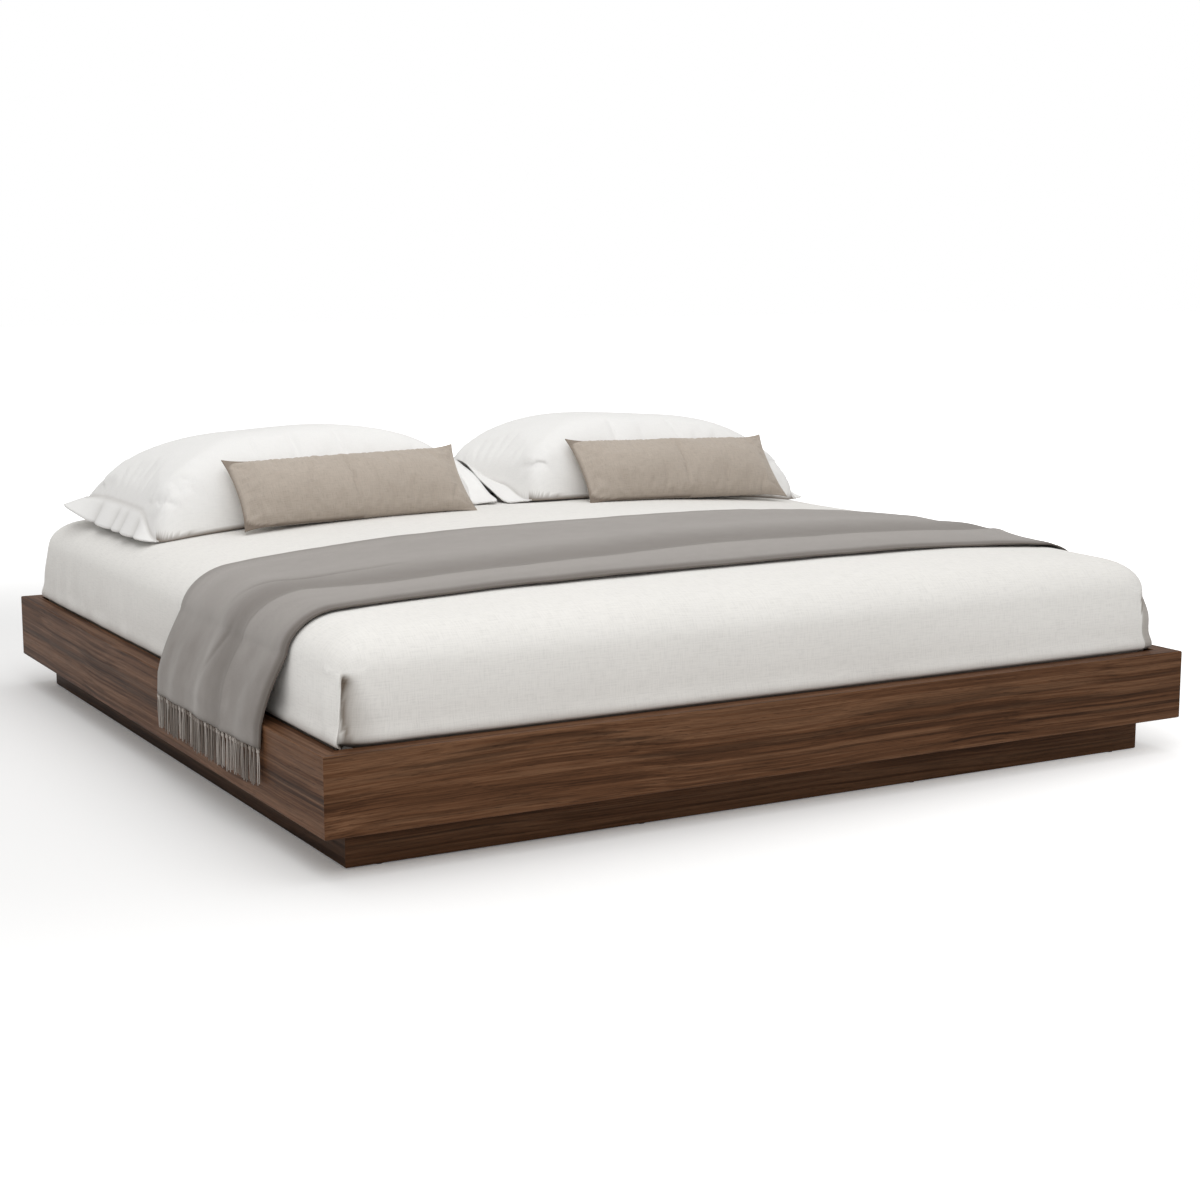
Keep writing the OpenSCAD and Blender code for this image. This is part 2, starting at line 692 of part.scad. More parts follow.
module throw() {
    n = throw_columns + 1;
    half = stations * n;
    points = [for (lift = [throw_t, 0], i = [0 : stations - 1], j = [0 : throw_columns])
        throw_point(i, j / throw_columns, lift)];
    faces = concat(
        [for (i = [0 : stations - 2], j = [0 : throw_columns - 1])
            let (a = i * n + j, b = a + n, c = b + 1, d = a + 1)
            each [[a, d, c], [a, c, b], [half + a, half + c, half + d],
                  [half + a, half + b, half + c]]],
        [for (i = [0 : stations - 2])
            let (a = i * n, b = a + n, c = a + throw_columns, d = c + n)
            each [[a, b, half + b], [a, half + b, half + a],
                  [c, half + d, d], [c, half + c, half + d]]],
        [for (j = [0 : throw_columns - 1]) let (e = (stations - 1) * n + j)
            each [[j + 1, j, half + j], [j + 1, half + j, half + j + 1],
                  [e, e + 1, half + e + 1], [e, half + e + 1, half + e]]]);
    color(grey_wool) polyhedron(points = points, faces = faces, convexity = 8);
}

// Tassels under one hem, each with a knot, following the folds
knot_h = 7;
module fringe() {
    for (i = [0 : tassel_count - 1]) {
        t = (i + 0.5) / tassel_count;
        at = throw_point(stations - 1, t, throw_t / 2);
        translate([at.x, at.y, hem_z - knot_h])
            cylinder(r = tassel_r * 1.25, h = knot_h, $fn = 6);
        translate([at.x, at.y, hem_z - fringe_l])
            cylinder(r = tassel_r, h = fringe_l - knot_h, $fn = 6);
    }
}
module fringe_right() { color(grey_wool) fringe(); }
module fringe_left() { color(grey_wool) mirror([1, 0, 0]) fringe(); }

side_rail_left();
side_rail_right();
foot_rail();
head_rail();
side_ledger_left();
side_ledger_right();
foot_ledger();
head_ledger();
centre_beam();
beam_hangers();
hanger_screws();
corner_brackets();
bracket_bolts();
ledger_screws();
plinth_screws();
plinth_front();
plinth_back();
plinth_left();
plinth_right();
plinth_ribs();
plinth_corner_blocks();
glides();
slats_left();
slats_right();
slat_tapes();
mattress();
bed_cover();
pillow_left();
pillow_right();
cushion_left();
cushion_right();
throw();
fringe_left();
fringe_right();
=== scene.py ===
# Looks of the low platform bed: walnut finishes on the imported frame, and modelled bedding
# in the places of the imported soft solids. Everything is in metres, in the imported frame.
import math

import bpy
import numpy as np
from mathutils import Euler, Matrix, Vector, noise


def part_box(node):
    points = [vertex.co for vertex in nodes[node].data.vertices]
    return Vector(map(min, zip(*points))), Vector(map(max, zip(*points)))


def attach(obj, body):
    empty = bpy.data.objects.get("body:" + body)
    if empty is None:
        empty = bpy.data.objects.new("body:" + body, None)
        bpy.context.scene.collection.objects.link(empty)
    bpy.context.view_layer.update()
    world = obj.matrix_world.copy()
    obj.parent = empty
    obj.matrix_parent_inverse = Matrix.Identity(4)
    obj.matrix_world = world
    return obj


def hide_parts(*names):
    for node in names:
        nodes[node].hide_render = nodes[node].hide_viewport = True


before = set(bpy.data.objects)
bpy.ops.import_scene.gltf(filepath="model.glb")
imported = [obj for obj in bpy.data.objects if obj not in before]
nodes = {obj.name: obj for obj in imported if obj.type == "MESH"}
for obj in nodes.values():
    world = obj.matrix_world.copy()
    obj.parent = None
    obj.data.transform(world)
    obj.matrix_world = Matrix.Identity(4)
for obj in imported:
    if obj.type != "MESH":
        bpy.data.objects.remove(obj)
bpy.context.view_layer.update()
bpy.ops.object.select_all(action="DESELECT")

# Sizes of the bed that the bedding follows
RAIL_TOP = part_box("foot_rail")[1].z
RAIL_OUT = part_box("side_rail_right")[1].x
MATTRESS_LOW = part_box("mattress")[0].z
COVER_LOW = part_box("bed_cover")[0].z
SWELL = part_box("mattress")[1].x  # the mattress's half width where its sides swell out
SIDE_TOP = MATTRESS_LOW + 0.217
SHOULDER_H, SHOULDER_W = 0.065, 0.095
SHOULDER_ARC = 0.081  # radius of the round arc that is as long as the shoulder's
SHOULDER_Z = SIDE_TOP + SHOULDER_H
FLAT_W = SWELL - SHOULDER_W
CROWN_H, CROWN_POWER = 0.058, 2.6
CORNER_R = 0.05
CORNER_IN = SWELL - CORNER_R
COVER_SKIN = 0.0048  # from the mattress to the cover's outer face
COVER_T = 0.0018


# Camera, light and floor
CAMERA_PLACE = (-2.434, -4.489, 1.121)
CAMERA_TURN, CAMERA_RISE = math.radians(-29.63), math.radians(9.26)
CAMERA_SENSOR, CAMERA_LENS = 36.0, 63.0
# Lamps: name, place, width, height and power
LAMPS = (("top_light", (-0.1, -0.3, 3.6), 4.0, 4.0, 48),
         ("key_light", (-1.9, -3.6, 3.9), 2.6, 2.0, 43))
LAMP_TARGET = (0, 0, 0.3)
SURROUND, SURROUND_LIGHT = (1.0, 0.995, 0.985, 1), 0.58
FLOOR_SIZE, FLOOR_TONE = 60, 0.94
# The lamps light the middle of the floor. Further from a place at the bed's left side, the
# floor glows for the camera.
GLOW_FROM = (-1.0, 0.5, 0)
GLOW = {"From Min": 1.3, "From Max": 4.6, "To Min": 0.09, "To Max": 1.0}


class Nodes:
    """A node tree being put together, node by node."""

    def __init__(self, tree):
        self.tree = tree

    def add(self, kind, inputs=(), **settings):
        """A node with its settings, and its sockets set to numbers or joined to others."""
        made = self.tree.nodes.new("ShaderNode" + kind)
        for key, value in settings.items():
            setattr(made, key, value)
        for key, value in dict(inputs).items():
            if isinstance(value, bpy.types.NodeSocket):
                self.tree.links.new(value, made.inputs[key])
            else:
                made.inputs[key].default_value = value
        return made


def blank_tree(owner):
    """The empty node tree of a world or a material."""
    owner.use_nodes = True
    owner.node_tree.nodes.clear()
    return Nodes(owner.node_tree)


def aim(thing, data, place, direction):
    """Puts a camera or a lamp in its place and turns it to look along a direction."""
    made = bpy.data.objects.new(thing, data)
    bpy.context.scene.collection.objects.link(made)
    made.location = place
    made.rotation_mode = "QUATERNION"
    made.rotation_quaternion = direction.to_track_quat("-Z", "Y")
    return made


def set_camera():
    """The photograph's view: a long lens, low and to the left of the foot end."""
    data = bpy.data.cameras.new("camera")
    data.sensor_width, data.lens = CAMERA_SENSOR, CAMERA_LENS
    back = Vector((math.sin(CAMERA_TURN) * math.cos(CAMERA_RISE),
                   -math.cos(CAMERA_TURN) * math.cos(CAMERA_RISE), math.sin(CAMERA_RISE)))
    bpy.context.scene.camera = aim("camera", data, CAMERA_PLACE, -back)


def set_studio():
    """White surroundings for the camera, a softer light on the object, and a pale floor."""
    world = bpy.data.worlds.new("studio")
    bpy.context.scene.world = world
    n = blank_tree(world)
    light = n.add("LightPath").outputs
    seen = n.add("Math", {0: light["Is Camera Ray"], 1: light["Is Transmission Ray"]},
                 operation="MAXIMUM").outputs[0]
    dim = n.add("Background", {"Color": SURROUND, "Strength": SURROUND_LIGHT}).outputs[0]
    white = n.add("Background", {"Color": (1, 1, 1, 1), "Strength": 1.0}).outputs[0]
    n.add("OutputWorld", {"Surface": n.add("MixShader", {0: seen, 1: dim, 2: white}).outputs[0]})

    for name, place, width, height, power in LAMPS:
        data = bpy.data.lights.new(name, "AREA")
        data.shape, data.size, data.size_y = "RECTANGLE", width, height
        data.energy = power
        aim(name, data, place, Vector(LAMP_TARGET) - Vector(place))

    bpy.ops.mesh.primitive_plane_add(size=FLOOR_SIZE)
    floor = bpy.context.object
    floor.name = "floor"
    finish = bpy.data.materials.new("floor_white")
    n = blank_tree(finish)
    matt = n.add("BsdfDiffuse", {"Color": (FLOOR_TONE, FLOOR_TONE, FLOOR_TONE, 1)}).outputs[0]
    away = n.add("VectorMath", {0: n.add("TexCoord").outputs["Object"], 1: GLOW_FROM},
                 operation="DISTANCE").outputs["Value"]
    strength = n.add("MapRange", {"Value": away, **GLOW}, interpolation_type="SMOOTHSTEP")
    glow = n.add("Emission", {"Strength": strength.outputs["Result"]}).outputs[0]
    lit = n.add("AddShader", {0: matt, 1: glow}).outputs[0]
    seen = n.add("LightPath").outputs["Is Camera Ray"]
    n.add("OutputMaterial", {"Surface": n.add("MixShader", {0: seen, 1: matt, 2: lit}).outputs[0]})
    floor.data.materials.append(finish)
    bpy.ops.object.select_all(action="DESELECT")
    bpy.context.scene.view_settings.view_transform = "Standard"


# Finishes
class Finish(Nodes):
    """A material with its shader, and the patterns that the finishes share."""

    def __init__(self, name, roughness=0.5, **sockets):
        self.material = bpy.data.materials.new(name)
        self.material.use_nodes = True
        super().__init__(self.material.node_tree)
        self.shader = self.tree.nodes["Principled BSDF"]
        self.shader.inputs["Roughness"].default_value = roughness
        for socket, value in sockets.items():
            self.shader.inputs[socket.replace("_", " ")].default_value = value

    def math(self, kind, a, b):
        return self.add("Math", {0: a, 1: b}, operation=kind).outputs[0]

    def noise(self, place, scale, detail=2.0, rough=0.5, warp=0.0):
        """Noise at one scale, or at three that draw it out along an axis."""
        if isinstance(scale, tuple):
            place, scale = self.add("Mapping", {"Vector": place, "Scale": scale}).outputs[0], 1.0
        return self.add("TexNoise", {"Vector": place, "Scale": scale, "Detail": detail,
                                     "Roughness": rough, "Distortion": warp}).outputs["Fac"]

    def ramp(self, value, *stops):
        """Colours or greys along a value from 0 to 1."""
        made = self.add("ValToRGB", {"Fac": value})
        points = made.color_ramp.elements
        while len(points) < len(stops):
            points.new(0.5)
        for point, (at, colour) in zip(points, stops):
            point.position = at
            point.color = (*colour, 1) if isinstance(colour, tuple) else (*(colour,) * 3, 1)
        return made.outputs["Color"]

    def multiply(self, share, a, b):
        return self.add("Mix", {0: share, 6: a, 7: b}, data_type="RGBA",
                        blend_type="MULTIPLY").outputs[2]

    def tint(self, share, colour, value, *stops):
        """A colour multiplied, to a share, by the ramp along a value."""
        return self.multiply(share, colour, self.ramp(value, *stops))

    def drive(self, name, socket):
        self.tree.links.new(socket, self.shader.inputs[name])

    def bump(self, height, strength, depth):
        made = self.add("Bump", {"Height": height, "Strength": strength, "Distance": depth})
        self.drive("Normal", made.outputs[0])


WALNUT = ((0.058, 0.0245, 0.011), (0.115, 0.051, 0.0238), (0.175, 0.087, 0.045))
# Painted shade on the plinth, as a share of the rails' tone: its ends, which face the light, and
# its sides
PLINTH_ENDS_SHADE, PLINTH_SIDES_SHADE = 0.72, 0.42
WALNUT_WANDER = 0.05
# the brown that painted shade on the cloth darkens towards
PAINTED_SHADE_TONE = (0.12, 0.07, 0.03)


def walnut_finish(name, along, dark, middle, light, seed):
    """Oiled walnut veneer, its grain along one axis of the bed."""
    f = Finish(name, 0.55, Specular_IOR_Level=0.07)
    place = f.add("TexCoord").outputs["Object"]
    moved = f.add("Mapping", {"Vector": place, "Location": (seed * 1.7, seed * 2.3, seed * 0.9)}
                  ).outputs[0]
    wander = f.noise(moved, (1.3, 1.3, 1.3))
    lift = f.add("VectorMath", {0: (WALNUT_WANDER,) * 3}, operation="SCALE")
    f.tree.links.new(wander, lift.inputs["Scale"])
    bent = f.add("VectorMath", {0: moved, 1: lift.outputs[0]}, operation="ADD").outputs[0]

    def grain(run, across, detail, rough=0.5, warp=0.0):
        scale = tuple(run if axis == along else across for axis in range(3))
        return f.noise(bent, scale, detail, rough, warp)

    broad = grain(0.3, 16.0, 3.0, 0.5, 0.2)
    lines = grain(0.35, 110.0, 3.0, 0.65, 0.1)
    streaks = grain(0.22, 62.0, 2.0, 0.5, 0.2)
    fibre = grain(7.0, 330.0, 3.0, 0.65)
    pores = grain(30.0, 700.0, 1.0)
    tone = f.math("ADD", f.math("MULTIPLY", broad, 0.45), f.math("MULTIPLY", lines, 0.55))
    colour = f.ramp(tone, (0.38, dark), (0.47, middle), (0.55, light), (0.66, middle))
    colour = f.tint(0.85, colour, streaks, (0.32, 0.45), (0.39, 0.85), (0.45, 1.0), (0.7, 1.0))
    colour = f.tint(0.7, colour, fibre, (0.32, 0.55), (0.6, 1.15))
    f.drive("Base Color", f.tint(0.8, colour, pores, (0.29, 0.5), (0.38, 1.0)))
    f.drive("Roughness", f.ramp(lines, (0.3, 0.5), (0.7, 0.4)))
    height = f.math("ADD", f.math("MULTIPLY", fibre, 0.6), f.math("MULTIPLY", pores, 0.4))
    f.bump(height, 0.25, 0.0004)
    return f.material


def cloth_finish(name, base, thread, slub, weave, depth, roughness, sheen, sheen_tint):
    """Woven cloth on the piece's flat map: slubs both ways over a fine weave, darkened by
    painted shade where the piece's shade attribute is below 1."""
    f = Finish(name, roughness, Sheen_Weight=sheen, Sheen_Roughness=0.5,
               Sheen_Tint=(*sheen_tint, 1), Specular_IOR_Level=0.25)
    flat = f.add("UVMap", uv_map="cloth").outputs[0]
    warp = f.noise(flat, (1 / thread, 0.09 / thread, 1), 2.0, 0.6)
    weft = f.noise(flat, (0.07 / thread, 1 / thread, 1), 2.0, 0.6)
    waves = [f.add("TexWave", {"Vector": flat, "Scale": 0.314 / weave, "Distortion": 0.6,
                               "Detail": 1.0}, bands_direction=way).outputs["Fac"]
             for way in ("X", "Y")]
    cross = f.math("MULTIPLY", f.math("ADD", *waves), 0.5)
    tone = f.noise(flat, (3, 3, 3), 3.0)
    threads = f.math("MULTIPLY", f.math("ADD", warp, weft), 0.5)
    slubs = f.ramp(threads, (0.36, 1 - slub), (0.5, 1.0), (0.66, 1 + slub * 0.5))
    colour = f.multiply(1.0, slubs, (*base, 1))
    colour = f.tint(0.35, colour, tone, (0.3, 0.95), (0.7, 1.03))
    colour = f.tint(0.2, colour, cross, (0.0, 0.86), (0.6, 1.0))
    # painted shade: the shade attribute darkens the colour towards the painted shade tone
    shade = f.add("Attribute", attribute_name="shade").outputs["Fac"]
    f.drive("Base Color", f.tint(1.0, colour, shade, (0.0, PAINTED_SHADE_TONE), (1.0, 1.0)))
    height = f.math("ADD", f.math("MULTIPLY", threads, 1.3), f.math("MULTIPLY", cross, 0.35))
    f.bump(height, 0.5, depth)
    return f.material


def pine_finish():
    """Planed pine, with its grain on the longest way of each board."""
    f = Finish("pine_planed", 0.55)
    place = f.add("TexCoord").outputs["Object"]
    rings = f.noise(place, (1.2, 26, 26), 3.0, 0.5, 0.4)
    fibre = f.noise(place, (5, 380, 380))
    colour = f.ramp(rings, (0.32, (0.62, 0.42, 0.2)), (0.5, (0.74, 0.55, 0.31)),
                    (0.68, (0.8, 0.64, 0.4)))
    f.drive("Base Color", f.tint(0.5, colour, fibre, (0.3, 0.82), (0.7, 1.05)))
    f.bump(fibre, 0.3, 0.0004)
    return f.material


def steel_finish():
    """Zinc-plated steel, softly brushed."""
    f = Finish("zinc_steel", 0.38, Metallic=1.0)
    place = f.add("TexCoord").outputs["Object"]
    grain = f.noise(place, (60, 60, 900))
    spangle = f.noise(place, 70.0, 3.0)
    f.drive("Base Color", f.ramp(spangle, (0.35, (0.5, 0.51, 0.53)), (0.65, (0.66, 0.67, 0.68))))
    f.drive("Roughness", f.ramp(grain, (0.3, 0.3), (0.7, 0.48)))
    f.bump(grain, 0.15, 0.0003)
    return f.material


def plain_finish(name, base, roughness, grain_scale, depth):
    """Moulded plastic or webbing, with a fine grain and a slight change of tone."""
    f = Finish(name, roughness)
    place = f.add("TexCoord").outputs["Object"]
    grain = f.noise(place, grain_scale, 3.0)
    tone = f.noise(place, 9.0)
    colour = f.multiply(1.0, f.ramp(tone, (0.3, 0.9), (0.7, 1.05)), (*base, 1))
    f.drive("Base Color", f.tint(0.4, colour, grain, (0.35, 0.8), (0.65, 1.1)))
    f.bump(grain, 0.4, depth)
    return f.material


def dress_frame():
    """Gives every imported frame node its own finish."""
    ends = walnut_finish("walnut_along_x", 0, *WALNUT, 1)
    sides = walnut_finish("walnut_along_y", 1, *WALNUT, 2)
    # the plinth gets darker copies of the walnut: painted shade on its ends and on its sides
    painted_shade_ends, painted_shade_sides = (
        walnut_finish("painted_shade_walnut_along_" + "xy"[axis], axis,
                      *(tuple(c * shade_factor for c in tone) for tone in WALNUT), 3 + axis)
        for axis, shade_factor in ((0, PLINTH_ENDS_SHADE), (1, PLINTH_SIDES_SHADE)))
    pine, steel = pine_finish(), steel_finish()
    glide = plain_finish("glide_plastic", (0.05, 0.05, 0.05), 0.5, 300, 0.0002)
    tape = plain_finish("tape_webbing", (0.8, 0.79, 0.76), 0.85, 900, 0.0004)
    for finish, names in (
            (ends, "foot_rail head_rail"), (sides, "side_rail_left side_rail_right"),
            (painted_shade_ends, "plinth_front plinth_back"), (painted_shade_sides, "plinth_left plinth_right"),
            (pine, "side_ledger_left side_ledger_right foot_ledger head_ledger centre_beam "
                   "plinth_ribs plinth_corner_blocks slats_left slats_right"),
            (steel, "beam_hangers hanger_screws corner_brackets bracket_bolts ledger_screws "
                    "plinth_screws"), (glide, "glides"), (tape, "slat_tapes")):
        for name in names.split():
            nodes[name].data.materials.clear()
            nodes[name].data.materials.append(finish)


# Mesh helpers
def vectors_of(piece, what):
    """A vector of every point of a mesh: its place, "co", or its "normal"."""
    values = np.empty(len(piece.data.vertices) * 3, np.float32)
    piece.data.vertices.foreach_get(what, values)
    return values.reshape(-1, 3).astype(float)


def points_of(piece):
    return vectors_of(piece, "co")


def set_points(piece, points):
    piece.data.vertices.foreach_set("co", np.ascontiguousarray(points, np.float32).ravel())
    piece.data.update()


def lay_flat_map(piece, flat, shade=1.0):
    """Stores where each point lies on the flat cloth, in metres, as the piece's UV map, and
    its painted shade: 1 where unshaded, less in a fold or a seam."""
    marks = piece.data.attributes.new("shade", "FLOAT", "POINT")
    marks.data.foreach_set("value", np.broadcast_to(np.float32(shade), len(flat)).copy())
    layer = piece.data.uv_layers.new(name="cloth")
    corner = np.empty(len(piece.data.loops), np.int32)
    piece.data.loops.foreach_get("vertex_index", corner)
    layer.data.foreach_set("uv", np.ascontiguousarray(flat[corner], np.float32).ravel())


def drop_maps(piece):
    """Takes off the maps that come with a primitive, which would hide the cloth's own."""
    while piece.data.uv_layers:
        piece.data.uv_layers.remove(piece.data.uv_layers[0])


def fresh_grid(name, across, along):
    """A flat grid from -1 to 1 both ways."""
    bpy.ops.mesh.primitive_grid_add(x_subdivisions=across, y_subdivisions=along, size=2)
    piece = bpy.context.object
    piece.name = piece.data.name = name
    drop_maps(piece)
    return piece


def thicken(piece, thickness, offset):
    """Makes a sheet solid: outwards with the offset 1, inwards with -1, half and half with 0."""
    bpy.context.view_layer.objects.active = piece
    made = piece.modifiers.new("solidify", "SOLIDIFY")
    made.thickness, made.offset, made.use_even_offset = thickness, offset, False
    bpy.ops.object.modifier_apply(modifier=made.name)


def finish_piece(piece, finish, body, slot, *replaced):
    """Smooth shading, its finish, the body that it rides on and the nodes it stands for."""
    piece.data.polygons.foreach_set("use_smooth", [True] * len(piece.data.polygons))
    piece.data.materials.clear()
    piece.data.materials.append(finish)
    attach(piece, body)
    if replaced:
        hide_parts(*replaced)
    return piece


def drift(points, wavelength, seed):
    """Smooth noise from -1 to 1 at each point."""
    k, shift = 1 / wavelength, Vector((seed * 13.7, seed * 7.1, seed * 3.3))
    return np.array([noise.noise(Vector(p) * k + shift) for p in points])


def hump(value, width):
    """1 where the value is 0, and gently down to 0 on both sides of it."""
    return np.exp(-(value / width) ** 2)


def smooth(value, low, high):
    """Rises gently from 0 to 1 as the value goes from low to high."""
    t = np.clip((value - low) / (high - low), 0, 1)
    return t * t * (3 - 2 * t)


# Mattress and cover
def shoulder_share(x, y):
    """How far over the rounded shoulder a place is: 0 on the flat, 1 at the side."""
    a = np.clip((np.abs(x) - FLAT_W) / SHOULDER_W, 0, 1)
    b = np.clip((np.abs(y) - FLAT_W) / SHOULDER_W, 0, 1)
    return np.minimum(1, (a ** 4 + b ** 4) ** 0.25), a, b


def bed_top(x, y):
    """Height of the mattress's top."""
    share = shoulder_share(x, y)[0]
    crown = CROWN_H * (1 - np.minimum(1, np.abs(x) / SWELL) ** CROWN_POWER) \
        * (1 - np.minimum(1, np.abs(y) / SWELL) ** CROWN_POWER)
    return SHOULDER_Z + crown - SHOULDER_H * (1 - np.sqrt(1 - share ** 2))


def bed_lines(flat_lines, round_lines):
    """Lines across the bed: even over the middle, and closer over the shoulders."""
    turn = np.linspace(0, math.pi / 2, round_lines + 1)[:-1]
    shoulder = SWELL - SHOULDER_W * (1 - np.cos(turn))
    middle = np.linspace(-FLAT_W, FLAT_W, flat_lines + 1)
    return np.concatenate([-shoulder, middle, shoulder[::-1]])


def rounded_plan(x, y):
    """Bends the corner squares of the plan to round corners."""
    u, v = (np.abs(x) - CORNER_IN) / CORNER_R, (np.abs(y) - CORNER_IN) / CORNER_R
    both = (u > 0) & (v > 0)
    rx = CORNER_IN + CORNER_R * u * np.sqrt(1 - np.clip(v, 0, 1) ** 2 / 2)
    ry = CORNER_IN + CORNER_R * v * np.sqrt(1 - np.clip(u, 0, 1) ** 2 / 2)
    return np.sign(x) * np.where(both, rx, np.abs(x)), np.sign(y) * np.where(both, ry, np.abs(y))


DROP = 0.1  # height of a row of the border before it is put in its place
TINY = 1e-9  # keeps a length from being 0 where it divides


def draped_grid(name, lines, levels):
    """A grid over the bed with its border drawn down the sides, one row for each level.
    Returns the piece, each point's place on the plan and its row."""
    count = len(lines) - 1
    piece = fresh_grid(name, count, count)
    bpy.ops.object.mode_set(mode="EDIT")
    bpy.ops.mesh.select_mode(type="EDGE")
    bpy.ops.mesh.select_all(action="DESELECT")
    bpy.ops.mesh.select_non_manifold(extend=False)
    for _ in levels:
        bpy.ops.mesh.extrude_edges_move(TRANSFORM_OT_translate={"value": (0, 0, -DROP)})
    bpy.ops.object.mode_set(mode="OBJECT")
    co = points_of(piece)
    steps = np.linspace(-1, 1, count + 1)
    x, y = np.interp(co[:, 0], steps, lines), np.interp(co[:, 1], steps, lines)
    return piece, x, y, np.rint(-co[:, 2] / DROP).astype(int)


def outward(x, y):
    """Direction away from the bed at a place on its side."""
    qx, qy = np.maximum(np.abs(x) - CORNER_IN, 0), np.maximum(np.abs(y) - CORNER_IN, 0)
    size = np.maximum(np.hypot(qx, qy), TINY)
    return np.sign(x) * qx / size, np.sign(y) * qy / size


def over_the_bed(x, y, row, levels, side_out, skin):
    """Points of a skin over the mattress: on top by the plan, on the sides by the row."""
    px, py = rounded_plan(x, y)
    share, a, b = shoulder_share(px, py)
    level = np.array([SIDE_TOP, *levels])[row]
    tilt_x, tilt_y = np.sign(px) * a ** 3, np.sign(py) * b ** 3
    size = np.maximum(np.hypot(tilt_x, tilt_y), TINY)
    flat, up = share / SHOULDER_W, np.sqrt(1 - share ** 2) / SHOULDER_H
    norm = np.hypot(flat, up)
    nx, ny, nz = tilt_x / size * flat / norm, tilt_y / size * flat / norm, up / norm
    ox, oy = outward(px, py)
    normals = np.where(row[:, None] > 0, np.stack([ox, oy, 0 * ox], 1), np.stack([nx, ny, nz], 1))
    off = skin + np.where(row > 0, side_out(np.stack([px, py, level], 1)), 0)
    points = np.stack([px, py, np.where(row > 0, level, bed_top(px, py))], 1)
    return points + normals * off[:, None], normals


def flat_places(x, y, row, levels):
    """Where each point lies on the flat cloth, in metres."""
    fall = SIDE_TOP - np.array([SIDE_TOP, *levels])[row]

    def run(v):
        d = np.clip(np.abs(v) - FLAT_W, 0, SHOULDER_W) / SHOULDER_W
        return np.sign(v) * (np.minimum(np.abs(v), FLAT_W) + np.arcsin(d) * SHOULDER_ARC)

    on_x = np.abs(x) >= np.abs(y)
    return np.stack([run(x) + np.where(on_x, np.sign(x) * fall, 0),
                     run(y) + np.where(on_x, 0, np.sign(y) * fall)], 1)


MATTRESS_ROWS = (0.34, 0.3, 0.26, 0.22, 0.185, 0.168, 0.159)


def make_mattress(ticking):
    """The mattress under the cover, closed by a flat underside with a rounded edge."""
    levels = [*MATTRESS_ROWS, MATTRESS_LOW]
    piece, x, y, row = draped_grid("mattress_core", bed_lines(44, 6), levels)

    def side_out(points):
        """The side stands in a little from the cover, and rounds under at its foot."""
        z = points[:, 2]
        tuck = np.clip((0.17 - z) / 0.0146, 0, 1)
        return -0.004 * smooth(SIDE_TOP - z, 0, 0.04) - 0.012 * tuck ** 2

    points, _ = over_the_bed(x, y, row, levels, side_out, 0.0)
    set_points(piece, points)
    lay_flat_map(piece, flat_places(x, y, row, levels))
    bpy.context.view_layer.objects.active = piece
    bpy.ops.object.mode_set(mode="EDIT")
    bpy.ops.mesh.select_all(action="DESELECT")
    bpy.ops.mesh.select_non_manifold(extend=False)
    bpy.ops.mesh.extrude_edges_move()
    bpy.ops.transform.resize(value=(0.96, 0.96, 1))
    bpy.ops.mesh.edge_face_add()
    bpy.ops.mesh.select_all(action="SELECT")
    bpy.ops.mesh.normals_make_consistent(inside=False)
    bpy.ops.object.mode_set(mode="OBJECT")
    finish_piece(piece, ticking, "mattress_and_cover", "ticking", "mattress")


# A corner pleat, in millimetres from the sharp corner of the bed: places on the cloth before
# it is folded, how far each is inside the lapping side's face, and how far from its end. The
# open pleat stands off the corner, the flat one is tucked under and pressed, and the lapped
# one is a flat one whose fold stops short of the corner.
OPEN_PLEAT = ((-95, -60, -30, -14, -7, -3.5, -1.2, 0, 1.2, 4, 8, 12, 15, 19, 25, 33, 42, 60,
               95),
              (0, 0, 0, 0, 0, 0, 0.3, 1.6, 3, 5.5, 9, 12.5, 15, 18.5, 24.5, 32.5, 42, 60, 100),
              (95, 60, 30, 13, 4.5, 0, -4, -5.6, -4, 1.5, 9.5, 16, 18.5, 17, 13, 8, 4, 1, 0))
PRESSED = (-95, -60, -34, -26, -19, -13, -7.7, -3.5, -0.9, 0, 0.9, 3.5, 7.7, 13, 19, 26, 34,
           42, 60, 95)
FLAT_PLEAT = (PRESSED,
              (0, 0, 0, 0, 0, 0, 0, 0, 0.7, 2, 3.3, 3.9, 4, 6.2, 6.6, 9, 16, 30, 58, 100),
              (95, 62, 42, 36, 31, 27, 24, 22.2, 21.2, 20.8, 21.2, 25, 34, 34, 14, 4.5, 0.8, 0,
               0, 0))
LAPPED_PLEAT = (PRESSED,
                (0, 0, 0, 0, 0, 0, 0, 0, 0.7, 2, 3.3, 4.2, 5, 7.2, 7.6, 9.5, 16, 30, 58, 100),
                (95, 68, 52, 47, 43, 40, 36.5, 34.8, 34, 33.6, 34, 37, 45, 43, 22, 5.5, 0.8, 0,
                 0, 0))
LAP_EDGE = 0.033  # from the sharp corner to the lapped pleat's fold
# The side that laps at each corner: 1 a long side, -1 an end
CORNERS = ((-1, -1, 1, OPEN_PLEAT), (1, -1, -1, LAPPED_PLEAT), (1, 1, -1, FLAT_PLEAT),
           (-1, 1, -1, FLAT_PLEAT))
PLEAT_REACH = 0.045  # how far the pleats reach along each side from the round corner
PLEAT_MM = 95  # the same in the pleats' own measure, half the round corner with it

# Heights over the rail of the rows of the cover's sides
COVER_ROWS = (0.137, 0.133, 0.129, 0.124, 0.118, 0.108, 0.096, 0.082, 0.068, 0.054, 0.042, 0.033,
              0.026, 0.02, 0.015, 0.011, 0.0075, 0.0045, 0.002, -0.001, -0.005, -0.02)


